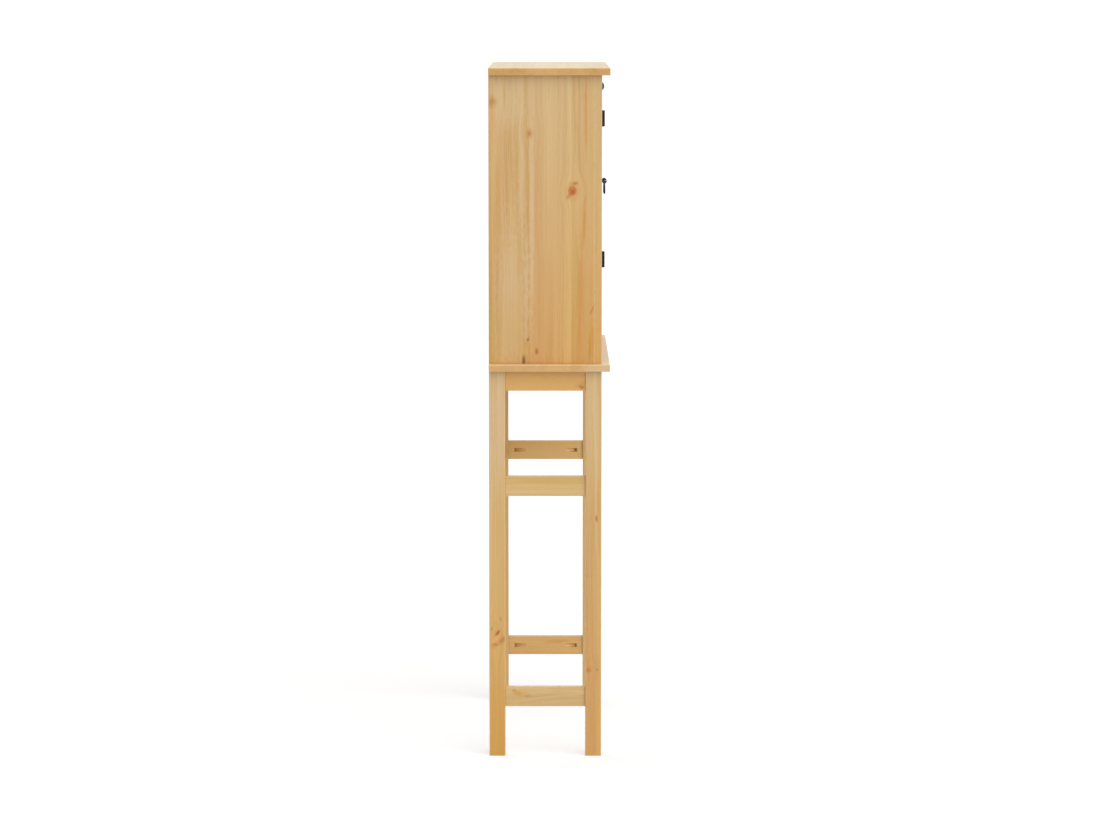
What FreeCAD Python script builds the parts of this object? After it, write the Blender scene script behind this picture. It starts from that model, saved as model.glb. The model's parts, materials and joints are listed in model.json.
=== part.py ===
import FreeCAD, Part
import math
import os
from FreeCAD import Placement, Rotation, Vector

# A pine cabinet that stands over a washing machine. Sizes are in millimetres: +Z is up, the front faces -Y,
# and the origin lies on the floor under the middle of the cabinet.

# Overall sizes
overall_width = 760.0
overall_depth = 300.0
overall_height = 1720.0
base_height = 972.0              # floor to the underside of the middle board
board_thickness = 18.0           # top board, middle board and niche shelf
board_overhang = 20.0            # at the front and at both ends
board_top_radius = 3.0
board_bottom_radius = 1.5

# Leg frame
leg_width = 30.0                 # across the cabinet
leg_depth = 40.0                 # front to back
leg_edge_radius = 2.0
rail_thickness = 18.0
rail_height = 50.0
rail_edge_radius = 1.5
low_rail_bottom = 125.0
mid_rail_bottom = 658.0

# Pocket-screw joints at the ends of the rails
pocket_angle = 18.0
pocket_width = 10.0
pocket_shoulder = 17.0           # rail end to the pocket's flat shoulder
pocket_axis_depth = 5.0          # screw line under the rail's inner face, at the shoulder
rail_screw_radius = 2.0
rail_screw_head_radius = 4.2
rail_screw_head_height = 2.4
rail_screw_bite = 22.0           # screw length in the leg
screw_tip = 3.0
screw_clearance = 0.05           # radial, between a fastener and its hole

# Screws that go up through the top rails into the middle board
base_screw_inset = 120.0         # from the ends of the front and back rails
base_screw_seat = 20.0           # wood left above the counterbore
base_screw_bite = 12.0
base_screw_bore_radius = 5.0

# Dowels of the leg tops, side panels and niche shelf
dowel_radius = 4.0
dowel_length = 26.0
dowel_board_depth = 11.0         # share of a dowel in a board's face
dowel_chamfer = 1.0
panel_dowel_inset = 95.0         # from the front and back edges of a side panel
hole_end_room = 1.0              # empty depth beyond a fastener's end

# Cam fittings
cam_radius = 7.5
cam_depth = 13.0
cam_disc_height = 12.5
cam_distance = 34.0              # joint face to the middle of the cam
cam_inset = 60.0                 # from the front and back edges
cam_bolt_radius = 3.5
cam_bolt_head_radius = 3.0
cam_neck_radius = 2.0
cam_neck_length = 5.0
cam_head_length = 3.0
cam_bolt_bite = 10.0
cam_slot_room = 0.5
cam_cross_width = 1.6
cam_cross_length = 8.0
cam_cross_depth = 2.0

# Cupboard carcass
panel_thickness = 18.0
frame_thickness = 18.0           # stiles and frieze of the face frame
stile_width = 40.0
frieze_height = 57.0
niche_height = 188.5
frame_edge_radius = 1.5
back_panel_thickness = 5.0
back_rebate = 8.0                # width of the rebate in the side panels
back_panel_room = 0.5
nail_radius = 0.8
nail_head_radius = 1.8
nail_head_height = 0.6
nail_length = 18.0
nail_edge = 4.0                  # nail line to the edge of the back panel
nail_pitch = 110.0
face_dowel_radius = 3.0
face_dowel_length = 24.0
face_dowel_inset = 70.0          # from the ends of a stile
frieze_dowel_inset = 15.0        # from the edges of the frieze

# Domed studs on the frieze
stud_radius = 10.0
stud_height = 6.2
stud_shank_radius = 1.5
stud_shank_length = 12.0
stud_inset = 25.0                # from the ends of the frieze

# Loose inner shelf and its pins
inner_shelf_thickness = 18.0
inner_shelf_rise = 221.0         # above the niche shelf
inner_shelf_setback = 12.0       # behind the doors
inner_shelf_end_room = 1.0
pin_radius = 2.5
pin_depth = 9.0
pin_reach = 9.0
pin_flange_radius = 4.0
pin_flange_thickness = 0.8
pin_flat = 0.7                   # flat cut on top of a shelf pin
pin_inset = 40.0                 # from the front and back edges of the inner shelf
pin_hole_pitch = 32.0

# Doors
door_thickness = 18.0
door_gap = 1.5                   # round the hinge edge, top and bottom
meeting_gap = 3.0
door_stile_width = 50.0
door_rail_height = 55.0
groove_width = 6.0
groove_depth = 10.0
groove_side_room = 0.2
groove_end_room = 1.0
field_recess = 3.0               # raised field under the door's face
field_bevel = 28.0
sight_room = 0.6                 # round the foot of the bevel

# Butterfly hinges
hinge_inset = 48.5               # door end to the middle of a hinge
barrel_radius = 3.5
barrel_length = 36.0
barrel_clearance = 0.3           # barrel to the face behind it
knuckle_count = 5
knuckle_gap = 0.25
hinge_pin_radius = 1.5
hinge_pin_clearance = 0.05
finial_radius = 3.5              # button at each end of the pin
finial_rim = 0.9
finial_crown = 1.1
leaf_thickness = 1.4
wing_reach = 25.0                # hinge axis to the tip of a wing
wing_root = 12.5                 # half height of a wing at the barrel
wing_tip = 18.5                  # half height of a wing at its lobes
wing_lobe_start = 12.0           # hinge axis to the start of a lobe
wing_lobe_end = 8.0              # half height of the notch between the lobes
wing_notch = 4.0
wing_swell = 4.0                 # bulge of a lobe past the line between its ends
wing_hollow = 2.0                # scoop between the barrel and a lobe
wing_gap = 0.4                   # wing to the other leaf's knuckles
hinge_screw_near = 9.0           # hinge axis to the screws, near and far
hinge_screw_far = 18.5
hinge_screw_rise = 10.5          # half height between the far screws
small_screw_radius = 1.3
small_screw_head_radius = 2.4
small_screw_head_height = 1.2
small_screw_length = 13.0
small_screw_tip = 2.0

# Drop pulls
pull_above_middle = 3.5          # eye above the middle of the door
pull_plate_thickness = 2.0
pull_plate_half_width = 12.0
pull_plate_half_height = 21.0
pull_plate_point = 2.5           # half width of a blunt point
pull_plate_scoop = 2.5
eye_standoff = 11.0              # door face to the middle of the eye
eye_radius = 6.0
eye_hole_radius = 4.0
eye_thickness = 4.0
eye_chamfer = 0.9
eye_neck_radius = 2.1
tail_radius = 2.0
tail_end = 1.0                   # thread past the nut
nut_height = 3.2
nut_across_flats = 7.0
drop_bar_radius = 2.0
drop_journal_radius = 2.1        # round stretch of the bar in the eye
drop_length = 29.0               # hinge line to the middle of the bottom bow
drop_top_half = 2.4              # half length of the straight top bar
drop_corner_radius = 3.2
drop_bow_radius = 8.5
drop_clearance = 0.3             # journal to the eye's hole
drop_sides = 8

# Magnetic catches
catch_from_meeting = 30.0        # meeting line to the middle of a catch
catch_width = 24.0
catch_depth = 14.0
catch_height = 12.0
catch_ear = 10.0
catch_ear_height = 3.0
catch_corner_radius = 2.0
magnet_width = 18.0
magnet_depth = 11.0
magnet_height = 3.0
pole_thickness = 1.5
pole_reach = 0.8                 # poles past the housing
magnet_rise = 3.0                # niche shelf to the lower pole
strike_thickness = 1.2
strike_width = 34.0
strike_height = 11.0
strike_rise = 1.0                # above the door's bottom edge
strike_gap = 0.2
strike_screw_head_radius = 2.4

# Planes that the pieces share
side_x = overall_width / 2 - board_overhang
front_y = board_overhang - overall_depth / 2
back_y = overall_depth / 2
mid_board_top = base_height + board_thickness
top_board_bottom = overall_height - board_thickness
leg_inner_x = side_x - leg_width
leg_front_back_y = front_y + leg_depth
leg_back_front_y = back_y - leg_depth
panel_inner_x = side_x - panel_thickness
panel_mid_x = side_x - panel_thickness / 2
panel_front_y = front_y + frame_thickness
back_panel_y = back_y - back_panel_thickness
shelf_bottom = mid_board_top + niche_height
shelf_top = shelf_bottom + board_thickness
opening_x = side_x - stile_width
opening_top = top_board_bottom - frieze_height
door_bottom = shelf_top + door_gap
door_top = opening_top - door_gap
door_middle = (door_bottom + door_top) / 2
door_hinge_x = opening_x - door_gap
door_meet_x = meeting_gap / 2
door_back_y = front_y + door_thickness
inner_shelf_bottom = shelf_top + inner_shelf_rise
inner_shelf_front_y = door_back_y + inner_shelf_setback
hinge_x = opening_x - door_gap / 2
hinge_y = front_y - barrel_radius - barrel_clearance
hinge_heights = (door_bottom + hinge_inset, door_top - hinge_inset)
pull_x = door_meet_x + door_stile_width / 2
pull_z = door_middle + pull_above_middle
pull_y = front_y - eye_standoff

along_x = Vector(1, 0, 0)
along_y = Vector(0, 1, 0)
along_z = Vector(0, 0, 1)
parts = {}


def box(x_span, y_span, z_span):
    corner = Vector(x_span[0], y_span[0], z_span[0])
    return Part.makeBox(x_span[1] - x_span[0], y_span[1] - y_span[0], z_span[1] - z_span[0], corner)


def cylinder(start, direction, radius, length):
    return Part.makeCylinder(radius, length, start, direction)


def mirrored(shape):
    return shape.mirror(Vector(0, 0, 0), along_x)


def straight_edges(shape, direction, wanted):
    # The straight edges along one direction whose middle passes the test.
    chosen = []
    for edge in shape.Edges:
        run = edge.lastVertex().Point - edge.firstVertex().Point
        if run.Length > 0 and abs(run.normalize().dot(direction)) > 0.999 and wanted(edge.CenterOfMass):
            chosen.append(edge)
    return chosen


def ease(shape, radius, direction, wanted):
    return shape.makeFillet(radius, straight_edges(shape, direction, wanted))


def near(value, *targets):
    return any(abs(value - target) < 0.01 for target in targets)


def line(start, end):
    return Part.LineSegment(start, end).toShape()


def arc(start, middle, end):
    return Part.Arc(start, middle, end).toShape()


def turned(profile, origin, direction):
    # A half profile in the XZ plane, revolved about Z and set at a point along a direction.
    solid = Part.Face(Part.Wire(profile)).revolve(Vector(0, 0, 0), along_z, 360)
    solid.Placement = Placement(origin, Rotation(along_z, direction))
    return solid


def profile_lines(points):
    corners = [Vector(radius, 0, height) for radius, height in points]
    return [line(start, end) for start, end in zip(corners, corners[1:])]


def dome(radius, height):
    # Arc of a spherical cap, from its crown down to its rim at zero height.
    sphere = (radius ** 2 + height ** 2) / (2 * height)
    half_angle = math.asin(radius / sphere) / 2
    middle = Vector(sphere * math.sin(half_angle), 0, sphere * (1 - math.cos(half_angle)) - height)
    return arc(Vector(0, 0, -height), middle, Vector(radius, 0, 0))


def domed_screw(seat, direction, head_radius, head_height, radius, length, tip):
    # Round-headed screw whose head sits on the seat, with its shank along the direction.
    points = [(head_radius, 0), (radius, 0), (radius, length - tip), (0, length), (0, -head_height)]
    return turned([dome(head_radius, head_height)] + profile_lines(points), seat, direction)


def screw_hole(seat, direction, radius, length):
    return cylinder(seat, direction, radius + screw_clearance, length + hole_end_room)


def dowel(middle, direction, radius, length):
    half = length / 2
    edge = radius - dowel_chamfer
    points = [(0, -half), (edge, -half), (radius, dowel_chamfer - half)]
    points += [(radius, half - dowel_chamfer), (edge, half), (0, half), (0, -half)]
    return turned(profile_lines(points), middle, direction)


def dowel_hole(middle, direction, radius, length):
    reach = length + 2 * hole_end_room
    return cylinder(middle - direction * (reach / 2), direction, radius + screw_clearance, reach)


def rail_end(length):
    # One end of a rail that runs along X with its inner face at Y = 0: pocket, screw bore and screw.
    angle = math.radians(pocket_angle)
    forward = Vector(math.cos(angle), -math.sin(angle), 0)
    outward = Vector(math.sin(angle), math.cos(angle), 0)
    shoulder = Vector(length / 2 - pocket_shoulder, -pocket_axis_depth, rail_height / 2)
    half = along_z * (pocket_width / 2)
    rise = outward * (pocket_axis_depth + pocket_width)
    low, high = shoulder - half, shoulder + half
    bottom = shoulder - outward * (pocket_width / 2)
    outline = [line(low + rise, low), arc(low, bottom, high), line(high, high + rise)]
    outline.append(line(high + rise, low + rise))
    run = (pocket_axis_depth + pocket_width) / math.sin(angle)
    pocket = Part.Face(Part.Wire(outline)).extrude(forward * -run)
    shank = pocket_shoulder / math.cos(angle) + rail_screw_bite
    bore = screw_hole(shoulder, forward, rail_screw_radius, shank)
    screw = domed_screw(shoulder, forward, rail_screw_head_radius, rail_screw_head_height,
                        rail_screw_radius, shank, screw_tip)
    return pocket, bore, screw


def base_screw_set(positions):
    # Counterbores, bores and screws that hold a top rail up against the middle board.
    seat_z = rail_height - base_screw_seat
    length = base_screw_seat + base_screw_bite
    cuts, bores, screws = [], [], []
    for position in positions:
        foot = Vector(position, -rail_thickness / 2, 0)
        seat = foot + along_z * seat_z
        cuts.append(cylinder(foot, along_z, base_screw_bore_radius, seat_z))
        bores.append(screw_hole(seat, along_z, rail_screw_radius, length))
        screws.append(domed_screw(seat, along_z, rail_screw_head_radius, rail_screw_head_height,
                                  rail_screw_radius, length, screw_tip))
    return cuts, bores, screws


def make_rail(name, length, turn, inner_face, bottom, base_positions=()):
    # Builds a rail lying along X, then turns it about Z and sets the middle of its inner face in place.
    body = box((-length / 2, length / 2), (-rail_thickness, 0), (0, rail_height))
    body = ease(body, rail_edge_radius, along_x, lambda middle: True)
    pocket, bore, screw = rail_end(length)
    pockets = [pocket, mirrored(pocket)]
    joint_bores = [bore, mirrored(bore)]
    joint_screws = [screw, mirrored(screw)]
    counterbores, board_bores, board_screws = base_screw_set(base_positions)
    body = body.cut(pockets + joint_bores + counterbores + board_bores)
    place = Placement(Vector(inner_face[0], inner_face[1], bottom), Rotation(along_z, turn))
    groups = ([body], joint_bores, joint_screws, board_bores, board_screws)
    placed = [[piece.transformed(place.toMatrix()) for piece in group] for group in groups]
    parts[name] = placed[0][0]
    return placed[1:]


def make_rails():
    # All rails of the leg frame; returns the bores that the legs and the middle board need.
    side_length = leg_back_front_y - leg_front_back_y
    side_middle = (leg_back_front_y + leg_front_back_y) / 2
    side_face = side_x - leg_width / 2 - rail_thickness / 2
    cross_length = 2 * leg_inner_x
    front_face = front_y + leg_depth / 2 + rail_thickness / 2
    back_face = back_y - leg_depth / 2 - rail_thickness / 2
    top_bottom = base_height - rail_height
    cross_screws = (base_screw_inset - cross_length / 2, cross_length / 2 - base_screw_inset)
    levels = (("low", low_rail_bottom, ()), ("mid", mid_rail_bottom, ()), ("top", top_bottom, (0.0,)))
    results = []
    for level, bottom, screws in levels:
        for side, turn, sign in (("left", -90, -1), ("right", 90, 1)):
            face = (sign * side_face, side_middle)
            results.append(make_rail(f"side_rail_{level}_{side}", side_length, turn, face, bottom, screws))
    results.append(make_rail("front_top_rail", cross_length, 0, (0, front_face), top_bottom, cross_screws))
    results.append(make_rail("back_top_rail", cross_length, 180, (0, back_face), top_bottom, cross_screws))
    results.append(make_rail("back_mid_rail", cross_length, 180, (0, back_face), mid_rail_bottom))
    leg_bores = [bore for result in results for bore in result[0]]
    board_bores = [bore for result in results for bore in result[2]]
    parts["rail_screws"] = Part.makeCompound([screw for result in results for screw in result[1]])
    parts["base_screws"] = Part.makeCompound([screw for result in results for screw in result[3]])
    return leg_bores, board_bores


def make_legs(bores):
    # Four legs with eased edges; returns the dowels of their tops and the matching holes.
    depths = {"front": (front_y, leg_front_back_y), "back": (leg_back_front_y, back_y)}
    widths = {"left": (-side_x, -leg_inner_x), "right": (leg_inner_x, side_x)}
    dowels, holes = [], []
    for row, y_span in depths.items():
        for side, x_span in widths.items():
            middle_z = base_height + dowel_board_depth - dowel_length / 2
            middle = Vector(sum(x_span) / 2, sum(y_span) / 2, middle_z)
            hole = dowel_hole(middle, along_z, dowel_radius, dowel_length)
            leg = box(x_span, y_span, (0, base_height))
            leg = ease(leg, leg_edge_radius, along_z, lambda point: True)
            near_bores = [bore for bore in bores if leg.BoundBox.intersect(bore.BoundBox)]
            parts[f"leg_{row}_{side}"] = leg.cut(near_bores + [hole])
            dowels.append(dowel(middle, along_z, dowel_radius, dowel_length))
            holes.append(hole)
    return dowels, holes


def cam_bolt(joint_point, direction):
    # The bolt is screwed into the far piece at the joint and reaches back along the direction to its cam.
    neck = cam_distance - cam_neck_length / 2
    head = neck + cam_neck_length
    end = head + cam_head_length
    points = [(0, -cam_bolt_bite), (cam_bolt_radius, -cam_bolt_bite), (cam_bolt_radius, neck)]
    points += [(cam_neck_radius, neck), (cam_neck_radius, head), (cam_bolt_head_radius, head)]
    points += [(cam_bolt_head_radius, end), (0, end), (0, -cam_bolt_bite)]
    return turned(profile_lines(points), joint_point, direction)


def cam_bolt_hole(joint_point, direction):
    start = joint_point - direction * (cam_bolt_bite + hole_end_room)
    length = cam_bolt_bite + hole_end_room + cam_distance
    return cylinder(start, direction, cam_bolt_radius + screw_clearance, length)


def cam_disc(face_point, inward, bolt_direction, bolt_level):
    # Cam housing with a cross recess in its face and a slot under it for the bolt's neck and head.
    disc = Part.makeCylinder(cam_radius - screw_clearance, cam_disc_height)
    half = cam_bolt_radius + cam_slot_room
    arm, reach = cam_cross_width / 2, cam_cross_length / 2
    slot = box((-half, half), (-cam_radius, cam_radius), (bolt_level - half, cam_disc_height))
    cross = [box((-arm, arm), (-reach, reach), (0, cam_cross_depth)),
             box((-reach, reach), (-arm, arm), (0, cam_cross_depth))]
    disc = disc.cut([slot] + cross)
    across = bolt_direction.cross(inward)
    disc.Placement = Placement(face_point, Rotation(across, bolt_direction, inward, "ZXY"))
    return disc


def cam_bore(face_point, inward):
    return cylinder(face_point, inward, cam_radius, cam_depth)


def make_carcass(leg_holes, board_bores):
    # Boards, side panels, niche shelf and what joins them. The left side is modelled and mirrored.
    dowels, dowel_holes, bolts, bolt_holes, discs, cam_bores = [], [], [], [], [], []
    panel_rows = (panel_front_y + panel_dowel_inset, back_y - panel_dowel_inset)
    cam_rows = (panel_front_y + cam_inset, back_y - cam_inset)
    outward = along_x * -1
    for joint_z, up in ((mid_board_top, along_z), (top_board_bottom, along_z * -1)):
        for y in panel_rows:
            middle = Vector(-panel_mid_x, y, joint_z) + up * (dowel_length / 2 - dowel_board_depth)
            dowels.append(dowel(middle, along_z, dowel_radius, dowel_length))
            dowel_holes.append(dowel_hole(middle, along_z, dowel_radius, dowel_length))
        for y in cam_rows:
            joint = Vector(-panel_mid_x, y, joint_z)
            face = Vector(-panel_inner_x, y, joint_z) + up * cam_distance
            bolts.append(cam_bolt(joint, up))
            bolt_holes.append(cam_bolt_hole(joint, up))
            discs.append(cam_disc(face, outward, up, panel_thickness / 2))
            cam_bores.append(cam_bore(face, outward))
    shelf_mid_z = (shelf_bottom + shelf_top) / 2
    for y in panel_rows:
        middle = Vector(-panel_inner_x + dowel_length / 2 - dowel_board_depth, y, shelf_mid_z)
        dowels.append(dowel(middle, along_x, dowel_radius, dowel_length))
        dowel_holes.append(dowel_hole(middle, along_x, dowel_radius, dowel_length))
    for y in cam_rows:
        joint = Vector(-panel_inner_x, y, shelf_mid_z)
        face = Vector(-panel_inner_x + cam_distance, y, shelf_bottom)
        bolts.append(cam_bolt(joint, along_x))
        bolt_holes.append(cam_bolt_hole(joint, along_x))
        discs.append(cam_disc(face, along_z, along_x, board_thickness / 2))
        cam_bores.append(cam_bore(face, along_z))
    left_cuts = dowel_holes + bolt_holes + cam_bores
    all_cuts = left_cuts + [mirrored(cut) for cut in left_cuts]
    make_board("mid_board", base_height, all_cuts + leg_holes + board_bores)
    make_board("top_board", top_board_bottom, all_cuts)
    shelf = box((-panel_inner_x, panel_inner_x), (panel_front_y, back_panel_y), (shelf_bottom, shelf_top))
    tongue = box((-opening_x, opening_x), (front_y, panel_front_y), (shelf_bottom, shelf_top))
    shelf = shelf.fuse(tongue).removeSplitter()
    shelf = ease(shelf, frame_edge_radius, along_x, lambda point: near(point.y, front_y))
    parts["niche_shelf"] = shelf.cut(all_cuts)
    parts["board_dowels"] = Part.makeCompound(dowels + [mirrored(peg) for peg in dowels])
    parts["cam_bolts"] = Part.makeCompound(bolts + [mirrored(bolt) for bolt in bolts])
    parts["cam_discs"] = Part.makeCompound(discs + [mirrored(disc) for disc in discs])
    return left_cuts


def make_board(name, bottom, cuts):
    # An overhanging board with rounded front and end edges.
    top = bottom + board_thickness
    half = overall_width / 2
    board = box((-half, half), (-overall_depth / 2, back_y), (bottom, top))
    front_edge = -overall_depth / 2
    for height, radius in ((top, board_top_radius), (bottom, board_bottom_radius)):
        front = straight_edges(board, along_x, lambda p: near(p.z, height) and near(p.y, front_edge))
        ends = straight_edges(board, along_y, lambda p: near(p.z, height))
        board = board.makeFillet(radius, front + ends)
    parts[name] = board.cut([cut for cut in cuts if board.BoundBox.intersect(cut.BoundBox)])


def make_shelf_pins():
    # Pins of the loose shelf, and the column of holes that they can be moved to.
    seat_z = inner_shelf_bottom - pin_radius + pin_flat
    rows = (inner_shelf_front_y + pin_inset, back_panel_y - pin_inset)
    pins, holes = [], []
    for y in rows:
        points = [(0, -pin_depth), (pin_radius, -pin_depth), (pin_radius, 0), (pin_flange_radius, 0)]
        points += [(pin_flange_radius, pin_flange_thickness), (pin_radius, pin_flange_thickness)]
        points += [(pin_radius, pin_reach), (0, pin_reach), (0, -pin_depth)]
        pin = turned(profile_lines(points), Vector(-panel_inner_x, y, seat_z), along_x)
        flat = box((-panel_inner_x + inner_shelf_end_room, -panel_inner_x + pin_reach),
                   (y - pin_flange_radius, y + pin_flange_radius),
                   (inner_shelf_bottom, inner_shelf_bottom + pin_flange_radius))
        pins.append(pin.cut(flat))
        for step in (-1, 0, 1):
            start = Vector(-panel_inner_x - pin_depth - hole_end_room, y, seat_z + step * pin_hole_pitch)
            length = pin_depth + hole_end_room
            holes.append(cylinder(start, along_x, pin_radius + screw_clearance, length))
    parts["shelf_pins"] = Part.makeCompound(pins + [mirrored(pin) for pin in pins])
    half = panel_inner_x - inner_shelf_end_room
    shelf = box((-half, half), (inner_shelf_front_y, back_panel_y - back_panel_room),
                (inner_shelf_bottom, inner_shelf_bottom + inner_shelf_thickness))
    parts["inner_shelf"] = ease(shelf, frame_edge_radius, along_x, lambda p: near(p.y, inner_shelf_front_y))
    return holes


def nail_places():
    # Nails down both rebates and along the niche shelf, at about one pitch.
    first, last = mid_board_top + nail_pitch / 2, top_board_bottom - nail_pitch / 2
    count = max(2, round((last - first) / nail_pitch) + 1)
    step = (last - first) / (count - 1)
    edge_x = panel_inner_x + back_rebate - back_panel_room - nail_edge
    places = [(side * edge_x, first + index * step) for index in range(count) for side in (-1, 1)]
    shelf_first = -panel_inner_x + nail_pitch
    shelf_count = max(2, round(-2 * shelf_first / nail_pitch) + 1)
    shelf_step = -2 * shelf_first / (shelf_count - 1)
    shelf_z = (shelf_bottom + shelf_top) / 2
    return places + [(shelf_first + index * shelf_step, shelf_z) for index in range(shelf_count)]


def make_back_panel():
    # Thin back between the boards, in the rebates of the side panels; returns the nail holes.
    half = panel_inner_x + back_rebate - back_panel_room
    panel = box((-half, half), (back_panel_y, back_y), (mid_board_top, top_board_bottom))
    inward = along_y * -1
    nails, holes = [], []
    for x, z in nail_places():
        head = Vector(x, back_y, z)
        points = [(0, 0), (nail_head_radius, 0), (nail_head_radius, nail_head_height)]
        points += [(nail_radius, nail_head_height), (nail_radius, nail_length - screw_tip)]
        points += [(0, nail_length), (0, 0)]
        nails.append(turned(profile_lines(points), head, inward))
        holes.append(screw_hole(head, inward, nail_radius, nail_length))
        holes.append(cylinder(head, inward, nail_head_radius + screw_clearance, nail_head_height))
    parts["back_panel"] = panel.cut(holes)
    parts["back_panel_nails"] = Part.makeCompound(nails)
    return holes


def make_sides(carcass_cuts, pin_holes, nail_holes):
    # Side panels with their rebates, and the face frame of stiles and frieze in front of them.
    z_span = (mid_board_top, top_board_bottom)
    face_mid_y = front_y + frame_thickness / 2
    stile_pegs, stile_holes = [], []
    middle_z = (mid_board_top + top_board_bottom) / 2
    for z in (mid_board_top + face_dowel_inset, middle_z, top_board_bottom - face_dowel_inset):
        middle = Vector(-panel_mid_x, panel_front_y, z)
        stile_pegs.append(dowel(middle, along_y, face_dowel_radius, face_dowel_length))
        stile_holes.append(dowel_hole(middle, along_y, face_dowel_radius, face_dowel_length))
    for z in (opening_top + frieze_dowel_inset, top_board_bottom - frieze_dowel_inset):
        middle = Vector(-opening_x, face_mid_y, z)
        stile_pegs.append(dowel(middle, along_x, face_dowel_radius, face_dowel_length))
        stile_holes.append(dowel_hole(middle, along_x, face_dowel_radius, face_dowel_length))
    parts["face_frame_dowels"] = Part.makeCompound(stile_pegs + [mirrored(peg) for peg in stile_pegs])

    panel = box((-side_x, -panel_inner_x), (panel_front_y, back_y), z_span)
    rebate = box((-panel_inner_x - back_rebate, -panel_inner_x), (back_panel_y, back_y), z_span)
    panel = panel.cut(rebate)
    panel = ease(panel, frame_edge_radius, along_z, lambda p: near(p.x, -side_x) and near(p.y, back_y))
    cuts = carcass_cuts + pin_holes + nail_holes + stile_holes
    panel = panel.cut([cut for cut in cuts if panel.BoundBox.intersect(cut.BoundBox)])
    parts["side_panel_left"] = panel
    parts["side_panel_right"] = mirrored(panel)
    parts["niche_shelf"] = parts["niche_shelf"].cut(nail_holes)

    hinge_holes = [hole for height in hinge_heights for hole in hinge_screws(height, -1)[1]]
    stile = box((-side_x, -opening_x), (front_y, panel_front_y), z_span)
    stile = ease(stile, frame_edge_radius, along_z, lambda p: near(p.y, front_y))
    stile = stile.cut(stile_holes + hinge_holes)
    parts["front_stile_left"] = stile
    parts["front_stile_right"] = mirrored(stile)

    frieze = box((-opening_x, opening_x), (front_y, panel_front_y), (opening_top, top_board_bottom))
    frieze = ease(frieze, frame_edge_radius, along_x,
                  lambda p: near(p.y, front_y) and near(p.z, opening_top))
    stud, stud_hole = make_stud()
    holes = stile_holes + [stud_hole]
    parts["frieze_rail"] = frieze.cut(holes + [mirrored(hole) for hole in holes])
    parts["frieze_studs"] = Part.makeCompound([stud, mirrored(stud)])


def make_stud():
    # A domed stud on a nail shank.
    seat = Vector(stud_inset - opening_x, front_y, (opening_top + top_board_bottom) / 2)
    points = [(stud_radius, 0), (stud_shank_radius, 0), (stud_shank_radius, stud_shank_length - screw_tip)]
    points += [(0, stud_shank_length), (0, -stud_height)]
    stud = turned([dome(stud_radius, stud_height)] + profile_lines(points), seat, along_y)
    return stud, screw_hole(seat, along_y, stud_shank_radius, stud_shank_length)


def hinge_screws(height, side):
    # Three round-headed screws of one wing of a left hinge: side -1 is the stile, +1 is the door.
    seat_y = front_y - leaf_thickness
    places = [(hinge_screw_near, 0.0), (hinge_screw_far, hinge_screw_rise)]
    places.append((hinge_screw_far, -hinge_screw_rise))
    screws, holes = [], []
    for reach, rise in places:
        seat = Vector(-hinge_x + side * reach, seat_y, height + rise)
        screws.append(domed_screw(seat, along_y, small_screw_head_radius, small_screw_head_height,
                                  small_screw_radius, small_screw_length, small_screw_tip))
        holes.append(screw_hole(seat, along_y, small_screw_radius, small_screw_length))
    return screws, holes


def wing_outline(side):
    # Butterfly wing beside the barrel, drawn about the hinge axis in the XZ plane.
    start = barrel_radius + wing_gap
    hollow = Vector((start + wing_lobe_start) / 2, 0, (wing_root + wing_tip) / 2 - wing_hollow)
    lobe_x = (wing_lobe_start + wing_reach) / 2 + wing_swell
    lobe = Vector(lobe_x, 0, (wing_tip + wing_lobe_end) / 2 + wing_swell)
    root = Vector(start, 0, wing_root)
    tip = Vector(wing_lobe_start, 0, wing_tip)
    end = Vector(wing_reach, 0, wing_lobe_end)
    notch = Vector(wing_reach - wing_notch, 0, 0)

    def set_side(point, up):
        return Vector(side * point.x, 0, up * point.z)

    edges = []
    for up in (1, -1):
        edges.append(arc(set_side(root, up), set_side(hollow, up), set_side(tip, up)))
        edges.append(arc(set_side(tip, up), set_side(lobe, up), set_side(end, up)))
    edges.append(arc(set_side(end, 1), set_side(notch, 1), set_side(end, -1)))
    edges.append(line(set_side(root, 1), set_side(root, -1)))
    return Part.Wire(Part.__sortEdges__(edges))


def hinge_leaf(height, side):
    # One leaf: a wing on the face, and the knuckles that it shares the barrel with.
    knuckle = (barrel_length - (knuckle_count - 1) * knuckle_gap) / knuckle_count
    wing = Part.Face(wing_outline(side)).extrude(Vector(0, -leaf_thickness, 0))
    wing.translate(Vector(-hinge_x, front_y, height))
    axis = Vector(-hinge_x, hinge_y, height - barrel_length / 2)
    tab_end = -hinge_x + side * (barrel_radius + wing_gap)
    leaf = wing
    for index in range(0 if side < 0 else 1, knuckle_count, 2):
        foot = axis + along_z * (index * (knuckle + knuckle_gap))
        tab_z = (foot.z, foot.z + knuckle)
        tab = box(sorted((-hinge_x, tab_end)), (front_y - leaf_thickness, front_y), tab_z)
        leaf = leaf.fuse([tab, cylinder(foot, along_z, barrel_radius, knuckle)])
    bore = cylinder(axis, along_z, hinge_pin_radius + hinge_pin_clearance, barrel_length)
    return leaf.removeSplitter().cut([bore] + hinge_screws(height, side)[1])


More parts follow.
